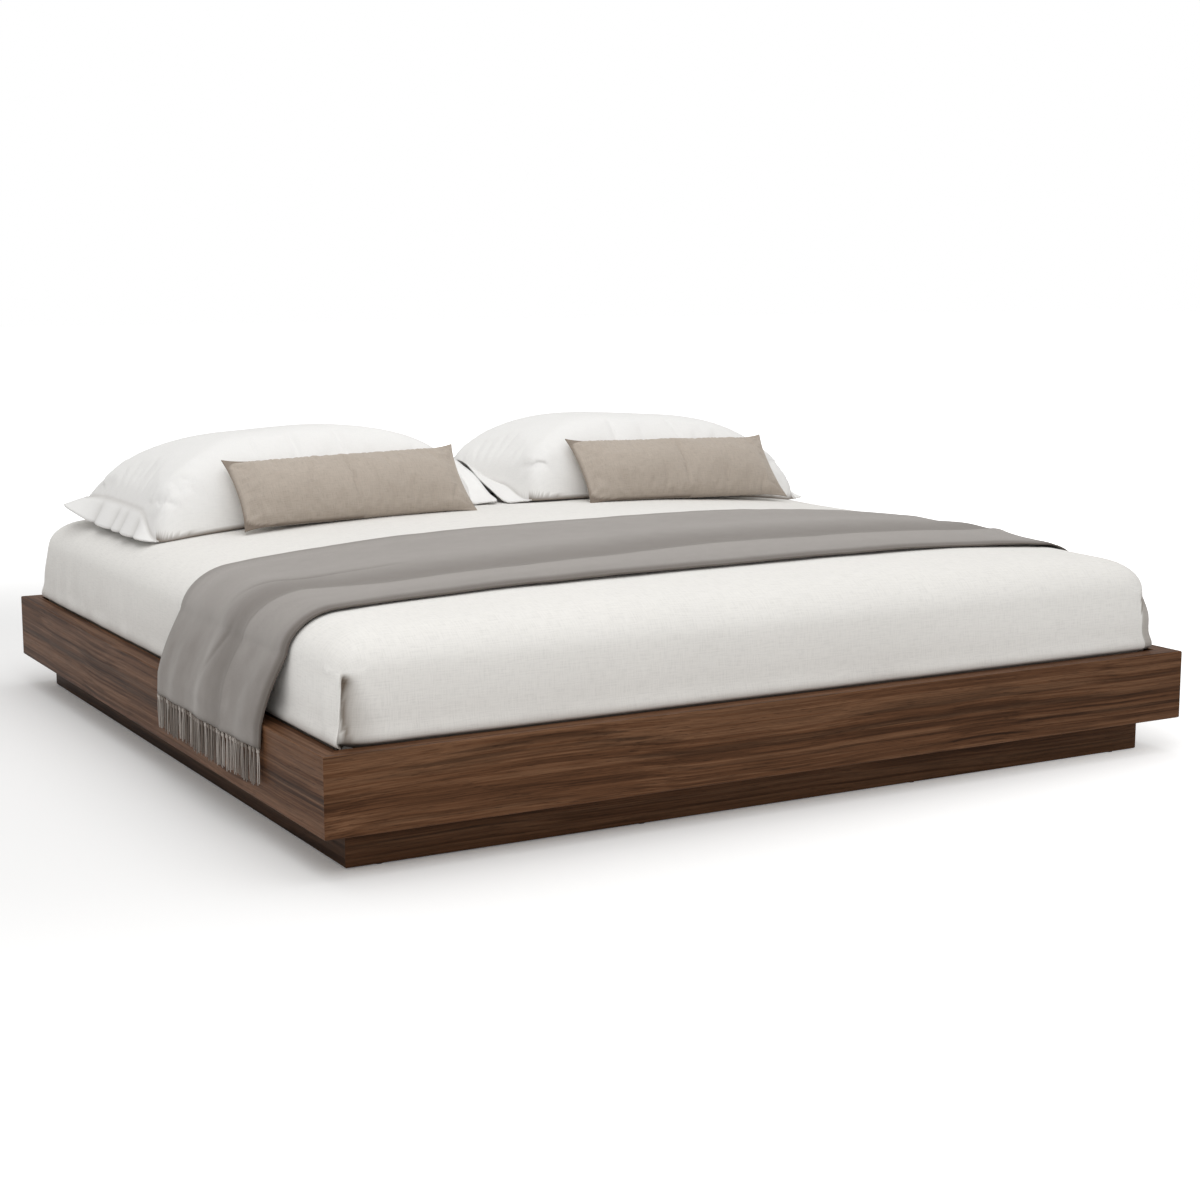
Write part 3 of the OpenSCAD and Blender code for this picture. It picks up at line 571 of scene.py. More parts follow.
def cover_out(points):
    """The cover's side bellies, most above the rail, and rounds under there with a soft foot."""
    z = points[:, 2]
    plan = points * (1, 1, 0)
    belly = np.sin(np.clip((SIDE_TOP - z) / (SIDE_TOP - RAIL_TOP), 0, 1) * math.pi)
    foot = hump(z - RAIL_TOP - 0.012, 0.02)
    uneven = 1 + 0.3 * drift(plan, 0.22, 8) + 0.2 * drift(plan, 0.07, 9)
    under = np.clip((RAIL_TOP + 0.007 - z) / 0.009, 0, 1)
    return (0.003 * belly + 0.009 * foot * uneven) * (1 - 0.6 * under) - 0.006 * under ** 2


def fold_corners(points, x, y, row):
    """Pleats the side cloth at the four corners, one side lapping over the other."""
    arc = CORNER_R * math.pi / 4
    reach = CORNER_IN - PLEAT_REACH - 0.0005
    px, py = rounded_plan(x, y)
    for sx, sy, lapping, pleat in CORNERS:
        near = (row > 0) & (sx * px > reach) & (sy * py > reach)
        lx, ly = sx * px[near], sy * py[near]
        angle = np.arctan2(np.maximum(ly - CORNER_IN, 0), np.maximum(lx - CORNER_IN, 0))
        along = (angle - math.pi / 4) * CORNER_R - np.maximum(CORNER_IN - ly, 0) \
            + np.maximum(CORNER_IN - lx, 0)
        # the arc is shorter than the two straight sides that it rounds
        cloth = along * lapping * PLEAT_MM / (arc + PLEAT_REACH)
        z = points[near, 2]
        face = SWELL + COVER_SKIN + cover_out(points[near])
        place, inside, end = pleat
        inside, end = (face - np.interp(cloth, place, line) / 1000 for line in (inside, end))
        fall = SIDE_TOP - z
        amount = smooth(fall, -0.01, 0.065 if pleat is LAPPED_PLEAT else 0.1)
        if pleat is OPEN_PLEAT:
            amount = smooth(fall, 0.0, np.interp(cloth, (7, 20), (0.014, 0.07)))
            # the folded edge leans out towards its foot, with a hollow at its head, and at the
            # foot the end's cloth lifts off the rail
            lean = 0.011 * (1 - smooth(fall, -0.02, 0.13)) * hump(cloth, 42)
            behind = hump(cloth - 15, 12)
            hollow = 0.004 * behind * hump(fall - 0.016, 0.008)
            inside -= lean
            end -= lean + hollow + 0.006 * behind * smooth(RAIL_TOP + 0.03 - z, 0, 0.03)
        fold_x, fold_y = (inside, end) if lapping > 0 else (end, inside)
        for axis, sign, folded in ((0, sx, fold_x), (1, sy, fold_y)):
            points[near, axis] += (sign * folded - points[near, axis]) * amount
    return points


def cover_wrinkles(points, x, y):
    """How far the linen stands off its form: broad waves on top, upright wrinkles on the
    sides, most on the long ones."""
    top = smooth(SWELL - np.maximum(np.abs(x), np.abs(y)), 0, 0.06)
    wave = drift(points * (1, 1, 0.2), 0.34, 1) * 0.0035 + drift(points, 0.13, 2) * 0.0012
    onside = smooth(SIDE_TOP + 0.05 - points[:, 2], 0, 0.06)
    upright = 1 - 2.2 * np.abs(drift(points * (1, 1, 0.13), 0.085, 3))
    long_side = smooth(np.abs(x) - np.abs(y), -0.05, 0.05)
    patch = smooth(drift(points * (1, 1, 0.3), 0.5, 4), -0.25, 0.35) * (0.35 + 0.65 * long_side)
    broad = drift(points * (1, 1, 0.6), 0.28, 5)
    lower = 0.25 + 0.75 * smooth(SIDE_TOP - points[:, 2], 0.0, 0.09)
    push = upright * 0.006 * patch * lower + broad * 0.0025
    # at the rail the cloth has room to draw in, but not to swell
    foot = smooth(RAIL_TOP + 0.035 - points[:, 2], 0, 0.025)
    push = push + (np.minimum(push, 0.0004) - push) * foot
    return wave * top + onside * push * smooth(points[:, 2], RAIL_TOP - 0.04, RAIL_TOP - 0.01)


def cover_shade(points, x, y, row):
    """Painted shade on the linen: darker where the cloth tucks behind the rail, on the sides, and
    behind the laps at the two corners of the foot end."""
    fall, over_rail = SIDE_TOP - points[:, 2], points[:, 2] - RAIL_TOP
    # painted contact shadow where the cloth tucks behind the rail
    shade = 0.3 + 0.7 * smooth(over_rail, 0.0015, 0.007)
    # painted shade: the sides a tone darker than the top
    near = np.where(np.abs(x) > np.abs(y), smooth(y, -0.9, -0.4), 1 - smooth(x, 0.0, 0.9))
    shade -= 0.1 * near * smooth(fall, -0.04, 0.04)
    # painted shade in the left corner's open pleat: in its depth, in the hollow at its head and at
    # its foot
    inside = SWELL + points[:, 0]
    front = (points[:, 1] < 0.5 - SWELL) & (np.abs(x) < np.abs(y) + 0.001) & (row > 0)
    wide = 0.045 + 0.05 * smooth(fall, 0.0, 0.12)
    behind = front * smooth(fall, 0.0, 0.02) * (inside > 0.006)
    shade -= behind * (0.3 * (1 - smooth(inside, 0.018, wide)) + 0.4 * hump(inside - 0.013, 0.006))
    shade -= front * 0.6 * hump(inside - 0.013, 0.01) * hump(fall - 0.016, 0.013)
    shade -= front * 0.25 * hump(inside - 0.028, 0.012) * (1 - smooth(over_rail, 0.004, 0.016))
    # painted shade at the right corner, on the cloth that comes out behind the end's lap
    from_corner = SWELL + COVER_SKIN + cover_out(points) - points[:, 0]
    painted_lap_shade = (from_corner < LAP_EDGE) & (points[:, 1] < -0.94) & (row > 0)
    painted_lap_shade = painted_lap_shade * smooth(fall, 0.0, 0.025) * (1 - smooth(points[:, 1], -0.978, -0.945))
    shade -= painted_lap_shade * (0.5 + 0.3 * hump(from_corner - LAP_EDGE, 0.005)
                      + 0.2 * hump(fall - 0.02, 0.015))
    return np.clip(shade, 0.1, 1)


def make_cover(linen):
    """The fitted cover, stretched over the mattress and pleated at its corners."""
    levels = [RAIL_TOP + z for z in COVER_ROWS if RAIL_TOP + z < SIDE_TOP - 0.002] + [COVER_LOW]
    piece, x, y, row = draped_grid("bed_cover_cloth", bed_lines(122, 12), levels)
    points, normals = over_the_bed(x, y, row, levels, cover_out, COVER_SKIN)
    points = fold_corners(points, x, y, row)
    points += normals * cover_wrinkles(points, x, y)[:, None]
    set_points(piece, points)
    lay_flat_map(piece, flat_places(x, y, row, levels), cover_shade(points, x, y, row))
    thicken(piece, COVER_T, -1.0)
    finish_piece(piece, linen, "mattress_and_cover", "linen", "bed_cover")


# Pillows
SETTLE_MOMENTS = 20
SETTLE_PRESSURE, SETTLE_SHRINK, SETTLE_STIFFNESS = 4.0, -0.035, 0.15
HOLD_STEPS = 10


def settle_cloth(piece, free, s, out_most, in_most):
    """Lets the fill press the cloth out for a moment, so that it wrinkles as sewn cloth does.
    The seams are held, and no point moves further than the given limits."""
    start = points_of(piece)
    hold = np.where(free, smooth(s, 0.9, 1.0), 1.0)
    group = piece.vertex_groups.new(name="held")
    for level in range(HOLD_STEPS + 1):
        chosen = np.nonzero(np.rint(hold * HOLD_STEPS).astype(int) == level)[0]
        group.add([int(i) for i in chosen], level / HOLD_STEPS, "REPLACE")
    scene = bpy.context.scene
    scene.frame_set(1)
    bpy.context.view_layer.objects.active = piece
    cloth = piece.modifiers.new("cloth", "CLOTH")
    cloth.point_cache.frame_start, cloth.point_cache.frame_end = 1, SETTLE_MOMENTS
    rules = cloth.settings
    rules.quality = 6
    rules.use_pressure, rules.uniform_pressure_force = True, SETTLE_PRESSURE
    rules.vertex_group_mass = "held"
    rules.shrink_min = SETTLE_SHRINK
    rules.bending_stiffness = SETTLE_STIFFNESS
    rules.effector_weights.gravity = 0
    cloth.collision_settings.use_collision = False
    for moment in range(1, SETTLE_MOMENTS + 1):
        scene.frame_set(moment)
    bpy.ops.object.modifier_apply(modifier=cloth.name)
    scene.frame_set(1)
    piece.vertex_groups.clear()
    moved = points_of(piece) - start
    normal = vectors_of(piece, "normal")
    along = (moved * normal).sum(1)
    side = moved - normal * along[:, None]
    size = np.maximum(np.linalg.norm(side, axis=1), TINY)
    side *= np.minimum(1, in_most / size)[:, None]
    set_points(piece, start + side + normal * np.clip(along, -in_most, out_most)[:, None])


def fill_share(s, power, root):
    """The height of a filled form as a share of its most: 1 in the middle, 0 at the seam."""
    return np.maximum(0, 1 - np.minimum(s, 1) ** power) ** root


def even_steps(count, power, root, slant):
    """Places from -1 to 1, evenly spaced over a filled form. The slant is its height over its
    half width."""
    plan = 1 - np.linspace(1, 0, 4001) ** 3
    length = np.cumsum(np.hypot(np.diff(plan), slant * np.diff(fill_share(plan, power, root))))
    length = np.concatenate([[0], length])
    places = np.interp(np.linspace(0, length[-1], count // 2 + 1), length, plan)
    return np.concatenate([-places[::-1], places[1:]])


def two_sheets(name, across, along):
    """Two sheets joined all round, as a flat square, with each point's place on the square and
    its side: 1 above and -1 below."""
    piece = fresh_grid(name, across, along)
    thicken(piece, 0.02, 0.0)
    co = points_of(piece)
    return piece, co[:, 0], co[:, 1], np.sign(co[:, 2])


PILLOW_HALF_D, PILLOW_H = 0.3, 0.205
PILLOW_FILL = (3.4, 0.5)  # power and root of the filled form
PILLOW_PULL = 0.05
PILLOW_SAG = 0.022
PILLOW_SEAT = 0.0019
PILLOW_COLUMNS, FLANGE_COLUMNS, PILLOW_ROWS = 120, 12, 88
FLANGE_W, FLANGE_T = 0.048, 0.004
# Where the outer flange creases inwards, from the middle of its pillow
FLANGE_CREASES = (-0.19, -0.085, -0.012, 0.125)
FLANGE_RIPPLE = 0.014


def cover_top(x, y):
    return bed_top(x, y) + COVER_SKIN


def end_seam(y):
    """Heights over the bed at the outer end: of the seam, and of the flange's free edge."""
    back = y / PILLOW_HALF_D
    seam = 0.06 * smooth(back, -1.0, -0.55) * (1 - 0.2 * smooth(back, 0.5, 1))
    edge = 0.002 + 0.03 * smooth(back, 0.3, 1)
    return seam, edge


def middle_seam(y):
    """The same where the two pillows meet, and their flanges stand up."""
    back = y / PILLOW_HALF_D
    seam = 0.03 * smooth(back, -0.97, -0.4) * (1 - 0.4 * smooth(back, 0.5, 1))
    edge = 0.1 * smooth(back, -1.05, 0.05) * (1 - 0.45 * smooth(back, 0.45, 1))
    return seam, edge


def shape_pillow(node, side, linen, seed):
    """A plump pillow in a case with a flange at each short end. Its base follows the bed."""
    low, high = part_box(node)
    centre_x, centre_y = (low.x + high.x) / 2, (low.y + high.y) / 2
    body_l = (high.x - low.x) / 2 - FLANGE_W
    columns = PILLOW_COLUMNS + 2 * FLANGE_COLUMNS
    piece, u, v, face = two_sheets(node + "_case", columns, PILLOW_ROWS)
    # across: -1 to 1 over the body, and up to 2 over a flange; along: -1 to 1
    body = even_steps(PILLOW_COLUMNS, *PILLOW_FILL, PILLOW_H / body_l)
    flap = 1 + np.linspace(0, 1, FLANGE_COLUMNS + 1)[1:]
    across = np.interp(u, np.linspace(-1, 1, columns + 1),
                       np.concatenate([-flap[::-1], body, flap]))
    along = np.interp(v, np.linspace(-1, 1, PILLOW_ROWS + 1),
                      even_steps(PILLOW_ROWS, *PILLOW_FILL, PILLOW_H / PILLOW_HALF_D))
    flange = np.maximum(np.abs(across) - 1, 0)
    su, sv = np.minimum(1, np.abs(across)), np.abs(along)
    s = (su ** 20 + sv ** 20) ** (1 / 20)
    outer = np.sign(across) == side

    # the plan: the seams draw in, the outer flange hangs from its seam and stands out at the back
    y = along * PILLOW_HALF_D
    reach = np.where(outer, 0.02 + 0.03 * smooth(y, 0.1, 0.3), 0.067 if side < 0 else 0.061)
    x = np.sign(across) * (su * body_l + flange * reach)
    rounding = 1 - 0.03 * (su * sv) ** 10
    px = x * (1 - PILLOW_PULL * (1 - sv ** 2) * (1 - flange)) * rounding
    py = y * (1 - PILLOW_PULL * (1 - su ** 2)) * rounding
    wx, wy = px + centre_x, py + centre_y

    # the heights over the bed: of the fill, and of the flange with its creases
    middle = cover_top(np.array([centre_x]), np.array([centre_y]))[0]
    base = np.maximum(cover_top(wx, wy), middle - PILLOW_SAG) + PILLOW_SEAT
    seam, edge = (np.where(outer, a, b) for a, b in zip(end_seam(y), middle_seam(y)))
    fill = (PILLOW_H - FLANGE_T) * fill_share(s, *PILLOW_FILL) * (1 - 0.25 * su ** 2 * sv ** 2)
    seam_rise = seam * smooth(su, 0.72, 1)
    over = (seam_rise ** 3 + fill ** 3) ** (1 / 3)
    under = seam * smooth(su, 0.86, 1)
    crease = sum(np.exp(-np.abs(y - place + 0.012 * flange) / 0.015) for place in FLANGE_CREASES)
    crease = np.where(outer, crease, 0) * smooth(y, -0.29, -0.24)
    ripple = np.where(outer, 0.4 * smooth(y, -0.29, -0.2) - crease, 0) * flange
    sway = np.where(outer, 0, 0.003 * np.sin(y * 40 + seed) * flange)
    hang = seam + (edge - seam) * flange + sway - 0.0012 * hump(flange - 0.1, 0.06)
    rise = np.where(flange > 0, np.where(face > 0, hang + FLANGE_T, hang),
                    np.where(face > 0, over + FLANGE_T, under))
    # the hanging flange has its thickness outwards
    thick = side * np.where(outer, FLANGE_T * 0.6, 0) * (flange > 0) * (face > 0)
    points = np.stack([wx + side * ripple * FLANGE_RIPPLE + thick, wy, base + rise], 1)
    # broad dents in the fill, and gathers that run in from the ends
    dents = drift(points, 0.21, seed + 3) * 0.006 * smooth(1.02 - s, 0, 0.3)
    gather = drift(np.stack([wx * 0.3, wy, wx * 0], 1), 0.04, seed) * 0.0035
    points[:, 2] += (face > 0) * (flange == 0) * (dents + gather * smooth(su, 0.7, 0.96)
                                                  * (1 - smooth(su, 0.98, 1.0)))
    set_points(piece, points)
    settle_cloth(piece, (flange == 0) & (face > 0), s, 0.01, 0.006)

    # painted shade along the seams, in the flange's creases, on the underside and the end facets,
    # and a painted shadow where the case meets the bed
    over_seam = over - seam_rise
    seam_shade = np.where(flange > 0, hump(flange, 0.08), hump(over_seam, 0.006) * (su > 0.97))
    # painted shadow at the foot of the front, where the case meets the bed
    foot = (1 - smooth(over_seam, 0.003, 0.009)) * (flange == 0) * (su < 0.985) * (y < 0)
    shade = 1 - 0.2 * seam_shade - 0.7 * foot - 0.2 * (face < 0) - 0.22 * crease * smooth(flange, 0, 0.4)
    shade -= 0.06 * smooth(su, 0.9, 0.97) * (flange == 0)
    # the underside has its own place on the flat cloth, one metre further
    lay_flat_map(piece, np.stack([px, py + (face < 0) * 1.0], 1), np.clip(shade, 0.15, 1))
    finish_piece(piece, linen, node.split("_")[1] + "_pillow", "pillow_linen", node)


# Lumbar cushions
CUSHION_L, CUSHION_D, CUSHION_T = 0.605, 0.2, 0.088
CUSHION_FILL = (2.6, 0.6)
CUSHION_LEAN, CUSHION_TILT = math.radians(42), math.radians(1.2)
CUSHION_PULL = 0.055
CUSHION_RIM = 0.003
CUSHION_COLUMNS, CUSHION_ROWS = 110, 48


def shape_cushion(node, side, linen, seed):
    """A small filled cushion, pinched at its corners, that leans back on its pillow."""
    low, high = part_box(node)
    centre = np.array((low + high) / 2)
    piece, u, v, face = two_sheets(node + "_case", CUSHION_COLUMNS, CUSHION_ROWS)
    x, y = (np.interp(place, np.linspace(-1, 1, count + 1),
                      even_steps(count, *CUSHION_FILL, CUSHION_T / size))
            for place, count, size in ((u, CUSHION_COLUMNS, CUSHION_L),
                                       (v, CUSHION_ROWS, CUSHION_D)))
    s = (np.abs(x) ** 9 + np.abs(y) ** 9) ** (1 / 9)
    half = CUSHION_RIM / 2 + (CUSHION_T - CUSHION_RIM) / 2 * fill_share(s, *CUSHION_FILL) \
        * (1 - 0.35 * x ** 2 * y ** 2)
    # the long edges draw in, and the corners stay out as small ears
    ears = np.abs(x) ** 14 * np.abs(y) ** 6
    px = x * (CUSHION_L / 2 * (1 - CUSHION_PULL * 0.6 * (1 - y ** 2)) + 0.003 * ears)
    py = y * (CUSHION_D / 2 * (1 - CUSHION_PULL * 1.3 * (1 - x ** 4)) + 0.006 * ears)
    local = np.stack([px, py, face * half], 1)
    # puckers that fan out from the corners, and short ones along the seams
    cx, cy = CUSHION_L / 2 - np.abs(px), CUSHION_D / 2 - np.abs(py)
    away = np.hypot(cx, cy)
    quarter = 2 * (px > 0) + (py > 0)
    fan = np.arctan2(cy, cx) * 11 + 1.5 * np.sin(px * 30 + seed) + seed * quarter
    fold = np.sin(fan) * np.exp(-away / 0.045)
    pucker = drift(np.stack([px * 1.4, py * 0.5, face], 1), 0.022, seed) * smooth(s, 0.72, 0.95)
    folds = fold * smooth(away, 0, 0.015) + pucker * 0.4
    rim = 1 - smooth(s, 0.975, 1.0)
    local[:, 2] += face * rim * (folds * 0.0045 + drift(local, 0.11, seed + 1) * 0.003 * (1 - s))
    turn = Euler((math.pi / 2 - CUSHION_LEAN, 0, 0)).to_matrix()
    tilt = Euler((0, side * CUSHION_TILT, 0)).to_matrix()
    set_points(piece, local @ np.array(tilt @ turn).T + centre)
    settle_cloth(piece, s < 0.999, s, 0.012, 0.004)
    # painted shade: a tone darker towards its foot, lighter and darker on its puckers, and dark
    # along the rim of its left end
    shade = 0.88 + 0.12 * smooth(y, -0.8, 0.5) + 0.1 * folds * rim - 0.1 * smooth(-y, 0.75, 1)
    shade -= 0.45 * smooth(s, 0.985, 0.998) * np.where(px < 0, 1, 0.2)
    lay_flat_map(piece, np.stack([px, py + (face < 0) * 0.5], 1), np.clip(shade, 0.2, 1))
    finish_piece(piece, linen, node.split("_")[1] + "_cushion", "taupe_linen", node)


# Throw and fringe
THROW_GAP = 0.0022
THROW_T = 0.003
THROW_SLIP = 0.028
HEM_Z = 0.19
HEM_OUT, DRAPE_GAP = 0.003, 0.0008
# Soft folds that run along the throw: place, as a share of its width from the front edge,
# height of the ridge, and how far it spreads to the front and to the back
SOFT_FOLDS = ((0.5, 0.005, 0.12, 0.12), (0.82, 0.004, 0.1, 0.07))
MAIN_FOLD_H = 0.009
CREASE_DEPTH = 0.0028
# Upright folds that the drapes open into: place, height and spread
DRAPE_FOLDS = ((0.1, 0.007, 0.07), (0.53, 0.006, 0.06), (0.75, 0.004, 0.06), (0.93, 0.005, 0.04))


def past_main_fold(t, signed):
    """How far a place is behind the main fold's ridge, as a share of the throw's width. The
    ridge wanders on top, and goes back and down over the shoulder."""
    run = np.abs(signed)
    ridge = 0.17 + 0.05 * smooth(signed, -0.55, 0.1) + 0.006 * np.sin(signed * 9 + 1) \
        + 0.17 * smooth(run, 0.72, 1.07) - 0.03 * smooth(run, 1.1, 1.2)
    return t - ridge


def creases(t, signed):
    """Thin creases, from 0 to 1: one over the near end of the top and one on the drape."""
    run = np.abs(signed)
    top = 0.8 * hump(t - 0.46 - 0.1 * smooth(run, 0.84, 0.97), 0.013) \
        * smooth(-signed, 0.55, 0.78) * (1 - smooth(-signed, 0.9, 0.99))
    slant = 0.48 + 0.94 * (run - 1.045)
    drape = 0.9 * hump(t - slant, 0.02) * smooth(run, 0.99, 1.06) * (1 - smooth(run, 1.08, 1.17))
    return top + drape


def throw_height(t, signed):
    """How far the cloth stands off its bed at a share of its width and a place on its run."""
    total = np.full_like(t, 0.003)
    for i, (place, high, front, behind) in enumerate(SOFT_FOLDS):
        shift = 0.016 * np.sin(signed * 1.9 + 0.4) + 0.009 * np.sin(signed * 4.7 + i * 0.5)
        d = t - place - shift
        swell = 1 + 0.4 * np.sin(signed * 2.3 + i * 1.7)
        total += high * swell * hump(d, np.where(d < 0, front, behind))
    d = past_main_fold(t, signed)
    ahead = np.exp(-np.sqrt((d / 0.08) ** 2 + 0.006) + 0.077)
    after = 0.4 * np.exp(-np.maximum(d, 0) / 0.03) + 0.6 * np.exp(-np.maximum(d, 0) / 0.14)
    total += MAIN_FOLD_H * np.where(d < 0, ahead, after)
    total -= CREASE_DEPTH * creases(t, signed)
    return total * (0.3 + 0.7 * smooth(t, 0, 0.05) * smooth(1 - t, 0, 0.05))


def throw_shade(t, signed, total):
    """Painted shade on the wool: darker behind the main fold, in creases, at the edges and over
    the drape, with painted highlights on the fold's ridge and on the drape."""
    run = np.abs(signed)
    d = past_main_fold(t, signed)
    hang = smooth(run, 0.98, 1.12)
    fade = 1 - smooth(d, 0.08 - 0.03 * hang, 0.36 - 0.16 * hang)
    fold = smooth(d, -0.006, 0.01) * fade * (0.46 - 0.06 * hang)
    fold += 0.22 * hump(d - 0.006, 0.009)
    shade = (1 - fold) * (0.94 - 0.27 * hang)
    # painted highlights on the main fold's ridge and in a band on the drape
    shade += 0.1 * hump(d + 0.03, 0.03) + hang * 0.16 * hump(t - 0.57, 0.03)
    # the nap is streaked along the folds
    streaks = drift(np.stack([run * 0.6, t * 0.62, run * 0], 1), 0.022, 31)
    shade *= 1 + (0.05 + 0.06 * hang) * streaks
    # painted shade in the creases
    shade *= 1 - 0.35 * creases(t, signed)
    # painted shade along the front edge and its hem, at the back edge, and at each end's hem
    shade *= 1 - 0.55 * (1 - smooth(t, 0.02, 0.06)) - 0.1 * (1 - smooth(t, 0.05, 0.14))
    shade *= 1 - 0.25 * smooth(t, 0.93, 0.975)
    return np.clip(shade * (1 - 0.35 * smooth(run, total - 0.008, total - 0.004)), 0.1, 1)


def throw_base(u, y):
    """The path over the bed, from -1 at one hem to 1 at the other: x and z, the outward
    direction, the length run from the middle, and the length of one half."""
    skin = COVER_SKIN + THROW_GAP
    slope = RAIL_OUT + DRAPE_GAP - SWELL - skin
    # lengths of three stretches of one half: shoulder, slope to the rail, drop
    turn_l = SHOULDER_ARC * math.pi / 2 + skin
    slope_l = math.hypot(slope, SIDE_TOP - RAIL_TOP)
    drop_l = RAIL_TOP - HEM_Z
    total = FLAT_W + turn_l + slope_l + drop_l
    run = np.abs(u) * total
    turned, sloped, dropped = (np.clip((run - start) / length, 0, 1) for start, length in (
        (FLAT_W, turn_l), (FLAT_W + turn_l, slope_l), (FLAT_W + turn_l + slope_l, drop_l)))
    nx, nz = np.sin(turned * math.pi / 2), np.cos(turned * math.pi / 2)
    x = np.minimum(run, FLAT_W) + SHOULDER_W * nx
    px = np.where(sloped > 0, SWELL + skin + slope * sloped + np.sin(sloped * math.pi) * 0.004
                  + HEM_OUT * dropped, x + skin * nx)
    pz = np.where(sloped > 0, SIDE_TOP + (RAIL_TOP - SIDE_TOP) * sloped
                  + (HEM_Z - RAIL_TOP) * dropped, bed_top(x, y) + skin * nz)
    return np.sign(u) * px, pz, np.sign(u) * nx, nz, run, total


def throw_points(u, v, low_y, width):
    """Places of the cloth, their places on the flat cloth, half its length, and its shade."""
    t = (v + 1) / 2
    y = low_y + t * width
    *_, run, total = throw_base(u, y)
    signed = run * np.sign(u)
    # the near end has slipped a little towards the foot of the bed
    y = y - THROW_SLIP * (1 - smooth(signed, -0.2, 0.75)) \
        * (1 - smooth(run, SWELL - 0.03, total - 0.06))
    px, pz, nx, nz, run, total = throw_base(u, y)
    hang = smooth(run, SWELL - 0.05, total)
    folds = np.zeros_like(t)
    for place, high, spread in DRAPE_FOLDS:
        d = t - place + 0.03 * np.sin(place * 40) * hang - 0.012 * np.sin(run * 9 + place * 30)
        folds += high * hump(d, spread)
    lift = throw_height(t, signed) + folds * hang * (1 - 0.35 * smooth(run, total - 0.08, total))
    place = np.stack([signed, y, np.zeros_like(y)], 1)
    lift += (drift(place, 0.16, 21) * 0.5 + 0.5) * 0.003 + (drift(place, 0.045, 22) + 1) * 0.0006
    return (np.stack([px + nx * lift, y, pz + nz * lift], 1), np.stack([signed, y], 1), total,
            throw_shade(t, signed, total))


def make_throw(wool):
    """The throw without its fringe, with its width and its length laid flat."""
    low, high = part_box("throw")
    piece = fresh_grid("throw_cloth", 380, 96)
    co = points_of(piece)
    points, flat, total, shade = throw_points(co[:, 0], co[:, 1], low.y, high.y - low.y)
    set_points(piece, points)
    lay_flat_map(piece, flat, shade)
    thicken(piece, THROW_T, 1.0)
    finish_piece(piece, wool, "throw_blanket", "grey_wool", "throw")
    return piece, high.y - low.y, 2 * total


TASSELS = 36
TASSEL_MOULDS = 3
TASSEL_TONES = (0.3, 0.45, 0.6, 0.9)
STRANDS, STRAND_R = 4, 0.0016
STRAND_CUTS = (0.94, 0.87, 0.8, 0.4, 0.0, -0.5)
KNOT_R, KNOT_DROP = 0.0045, 0.0065


def make_tassel(length, seed):
    """One knotted tassel that hangs from the origin, as a single mesh."""
    bpy.ops.mesh.primitive_uv_sphere_add(segments=8, ring_count=6, radius=KNOT_R)
    knot = bpy.context.object
    set_points(knot, points_of(knot) * (1, 1, 1.2) + (0, 0, -KNOT_DROP))
    for k in range(STRANDS):
        bpy.ops.mesh.primitive_cylinder_add(vertices=5, radius=STRAND_R, depth=2,
                                            end_fill_type="TRIFAN")
        strand = bpy.context.object
        bpy.ops.object.mode_set(mode="EDIT")
        for level in STRAND_CUTS:
            bpy.ops.mesh.select_all(action="SELECT")
            bpy.ops.mesh.bisect(plane_co=(0, 0, level), plane_no=(0, 0, 1))
        bpy.ops.object.mode_set(mode="OBJECT")
        co = points_of(strand)
        d = (1 - co[:, 2]) / 2
        angle = 2 * math.pi * k / STRANDS + seed + 0.7
        # the strands leave the hem side by side, close up in the knot and hang loose below
        spread = 0.0012 + 0.0026 * smooth(0.07 - d, 0, 0.07) + 0.0016 * smooth(d, 0.07, 0.5)
        spread = spread + 0.0006 * np.sin(d * 5 + k * 2)
        co[:, 0] = co[:, 0] * (1 - 0.3 * d) + math.cos(angle) * spread
        co[:, 1] = co[:, 1] * (1 - 0.3 * d) + math.sin(angle) * spread
        co[:, 2] = -d * length * (1 - 0.04 * (1 + math.sin(k * 2.1 + seed)))
        set_points(strand, co)
        join([strand, knot], knot)
    return knot


def join(pieces, first):
    """Makes one mesh of several pieces, under the first one's name."""
    bpy.ops.object.select_all(action="DESELECT")
    for piece in pieces:
        piece.select_set(True)
    bpy.context.view_layer.objects.active = first
    bpy.ops.object.join()


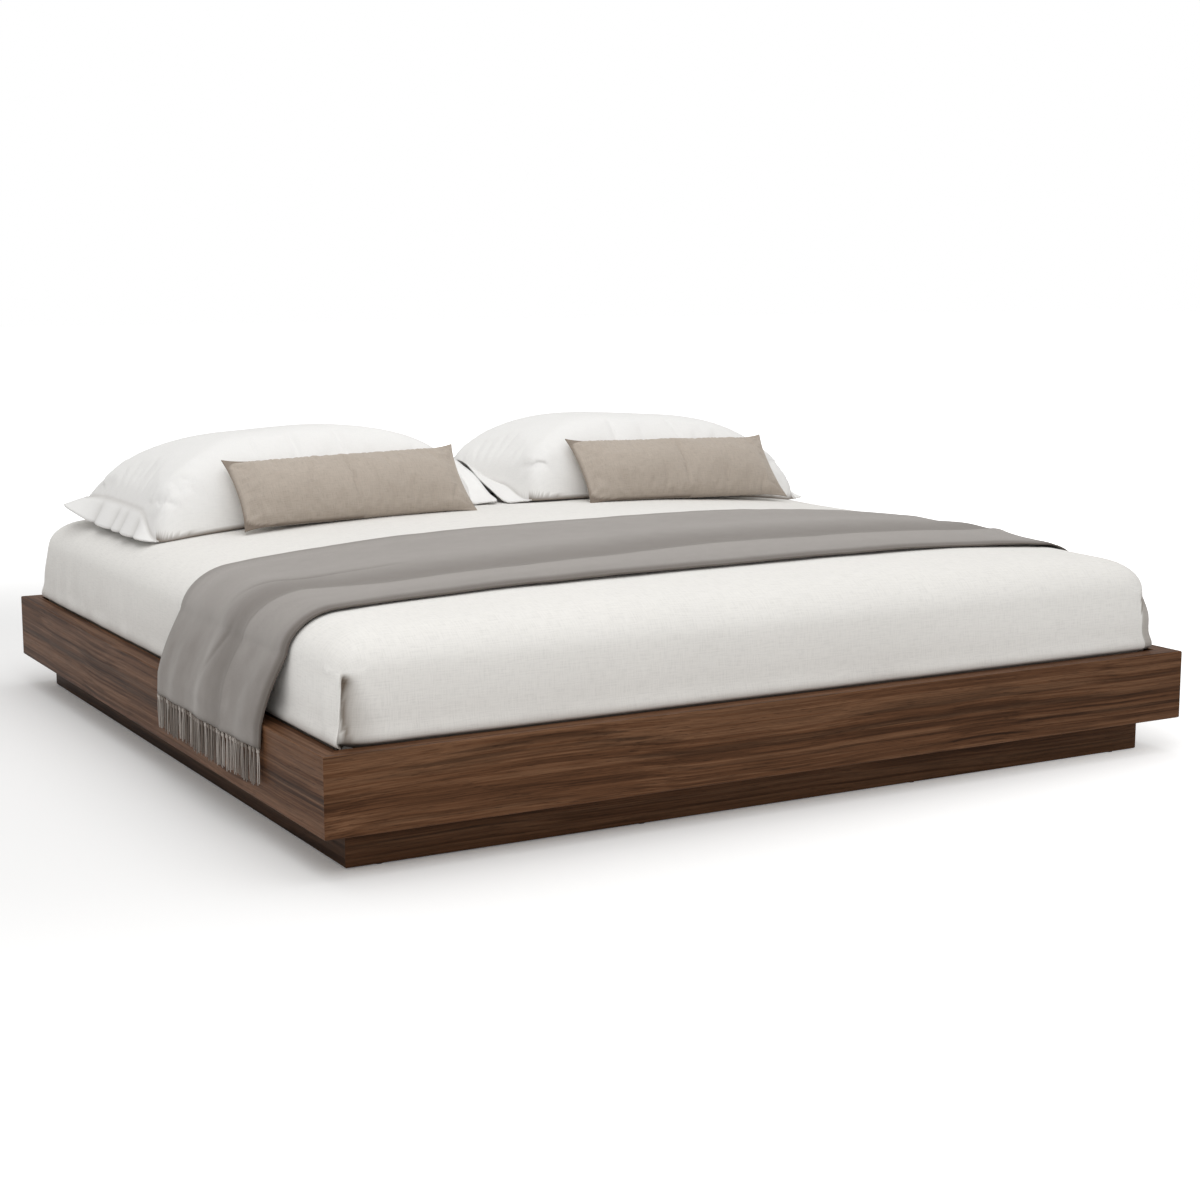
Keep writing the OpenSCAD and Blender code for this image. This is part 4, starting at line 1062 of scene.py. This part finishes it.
def make_fringe(side, wool):
    """A row of tassels under one hem of the throw."""
    low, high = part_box("throw")
    length = HEM_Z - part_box("fringe_left")[0].z
    random = np.random.RandomState(5 + side)
    t = (np.arange(TASSELS) + 0.5) / TASSELS
    hem = throw_points(np.full(TASSELS, float(side)), t * 2 - 1, low.y, high.y - low.y)[0]
    moulds = [make_tassel(length, s * 1.3) for s in range(TASSEL_MOULDS)]
    tassels = []
    for k in range(TASSELS):
        mould = moulds[k % TASSEL_MOULDS]
        tassel = mould.copy()
        tassel.data = mould.data.copy()
        drop_maps(tassel)
        bpy.context.scene.collection.objects.link(tassel)
        turn = random.uniform(0, 6.3)
        sway = random.uniform(-0.035, 0.035)
        shorter = 1 - random.uniform(0, 0.06)
        c, s = math.cos(turn), math.sin(turn)
        co = points_of(tassel)
        d = -co[:, 2]
        x, y = co[:, 0] * c - co[:, 1] * s, co[:, 0] * s + co[:, 1] * c
        co = np.stack([x * 0.8 + hem[k, 0] + side * THROW_T / 2, y + sway * d + hem[k, 1],
                       co[:, 2] * shorter + HEM_Z], 1)
        set_points(tassel, co)
        # a random tone for each tassel, and painted shade just under the hem
        tone = random.choice(TASSEL_TONES) * (1 - 0.25 * smooth(0.004 - d, 0, 0.004))
        lay_flat_map(tassel, co[:, [1, 2]], tone)
        tassels.append(tassel)
    join(tassels, tassels[0])
    fringe = bpy.context.object
    word = "left" if side < 0 else "right"
    fringe.name = fringe.data.name = "fringe_" + word + "_tassels"
    for mould in moulds:
        bpy.data.objects.remove(mould)
    return finish_piece(fringe, wool, "throw_blanket", "grey_wool", "fringe_" + word)


# The whole scene
set_camera()
set_studio()
dress_frame()

# Fabrics: name, base colour, thread, slub, weave and its depth, roughness, sheen and its tint
off_white, pillow_white, taupe, wool, fringe_wool, ticking = (cloth_finish(*fabric) for fabric in (
    ("linen_cover", (0.885, 0.868, 0.835), 0.0026, 0.075, 0.0011, 0.0005, 0.85, 0.15, (1, 1, 1)),
    ("linen_pillow", (0.92, 0.913, 0.898), 0.0016, 0.03, 0.0009, 0.0004, 0.85, 0.15, (1, 1, 1)),
    ("linen_taupe", (0.5, 0.435, 0.372), 0.0018, 0.14, 0.001, 0.0006, 0.85, 0.2, (1, 0.97, 0.93)),
    ("wool_grey", (0.36, 0.333, 0.314), 0.0014, 0.09, 0.0008, 0.0004, 0.7, 0.3, (1, 0.98, 0.95)),
    ("wool_fringe", (0.48, 0.436, 0.397), 0.001, 0.12, 0.0008, 0.0004, 0.8, 0.3, (1, 0.97, 0.95)),
    ("mattress_ticking", (0.82, 0.81, 0.78), 0.0025, 0.06, 0.0012, 0.0006, 0.85, 0.1, (1, 1, 1))))

make_mattress(ticking)
make_cover(off_white)
shape_pillow("pillow_left", -1, pillow_white, 1)
shape_pillow("pillow_right", 1, pillow_white, 4)
shape_cushion("cushion_left", -1, taupe, 2)
shape_cushion("cushion_right", 1, taupe, 7)
throw, throw_w, throw_l = make_throw(wool)
fringes = [make_fringe(side, fringe_wool) for side in (-1, 1)]

bpy.ops.object.select_all(action="DESELECT")
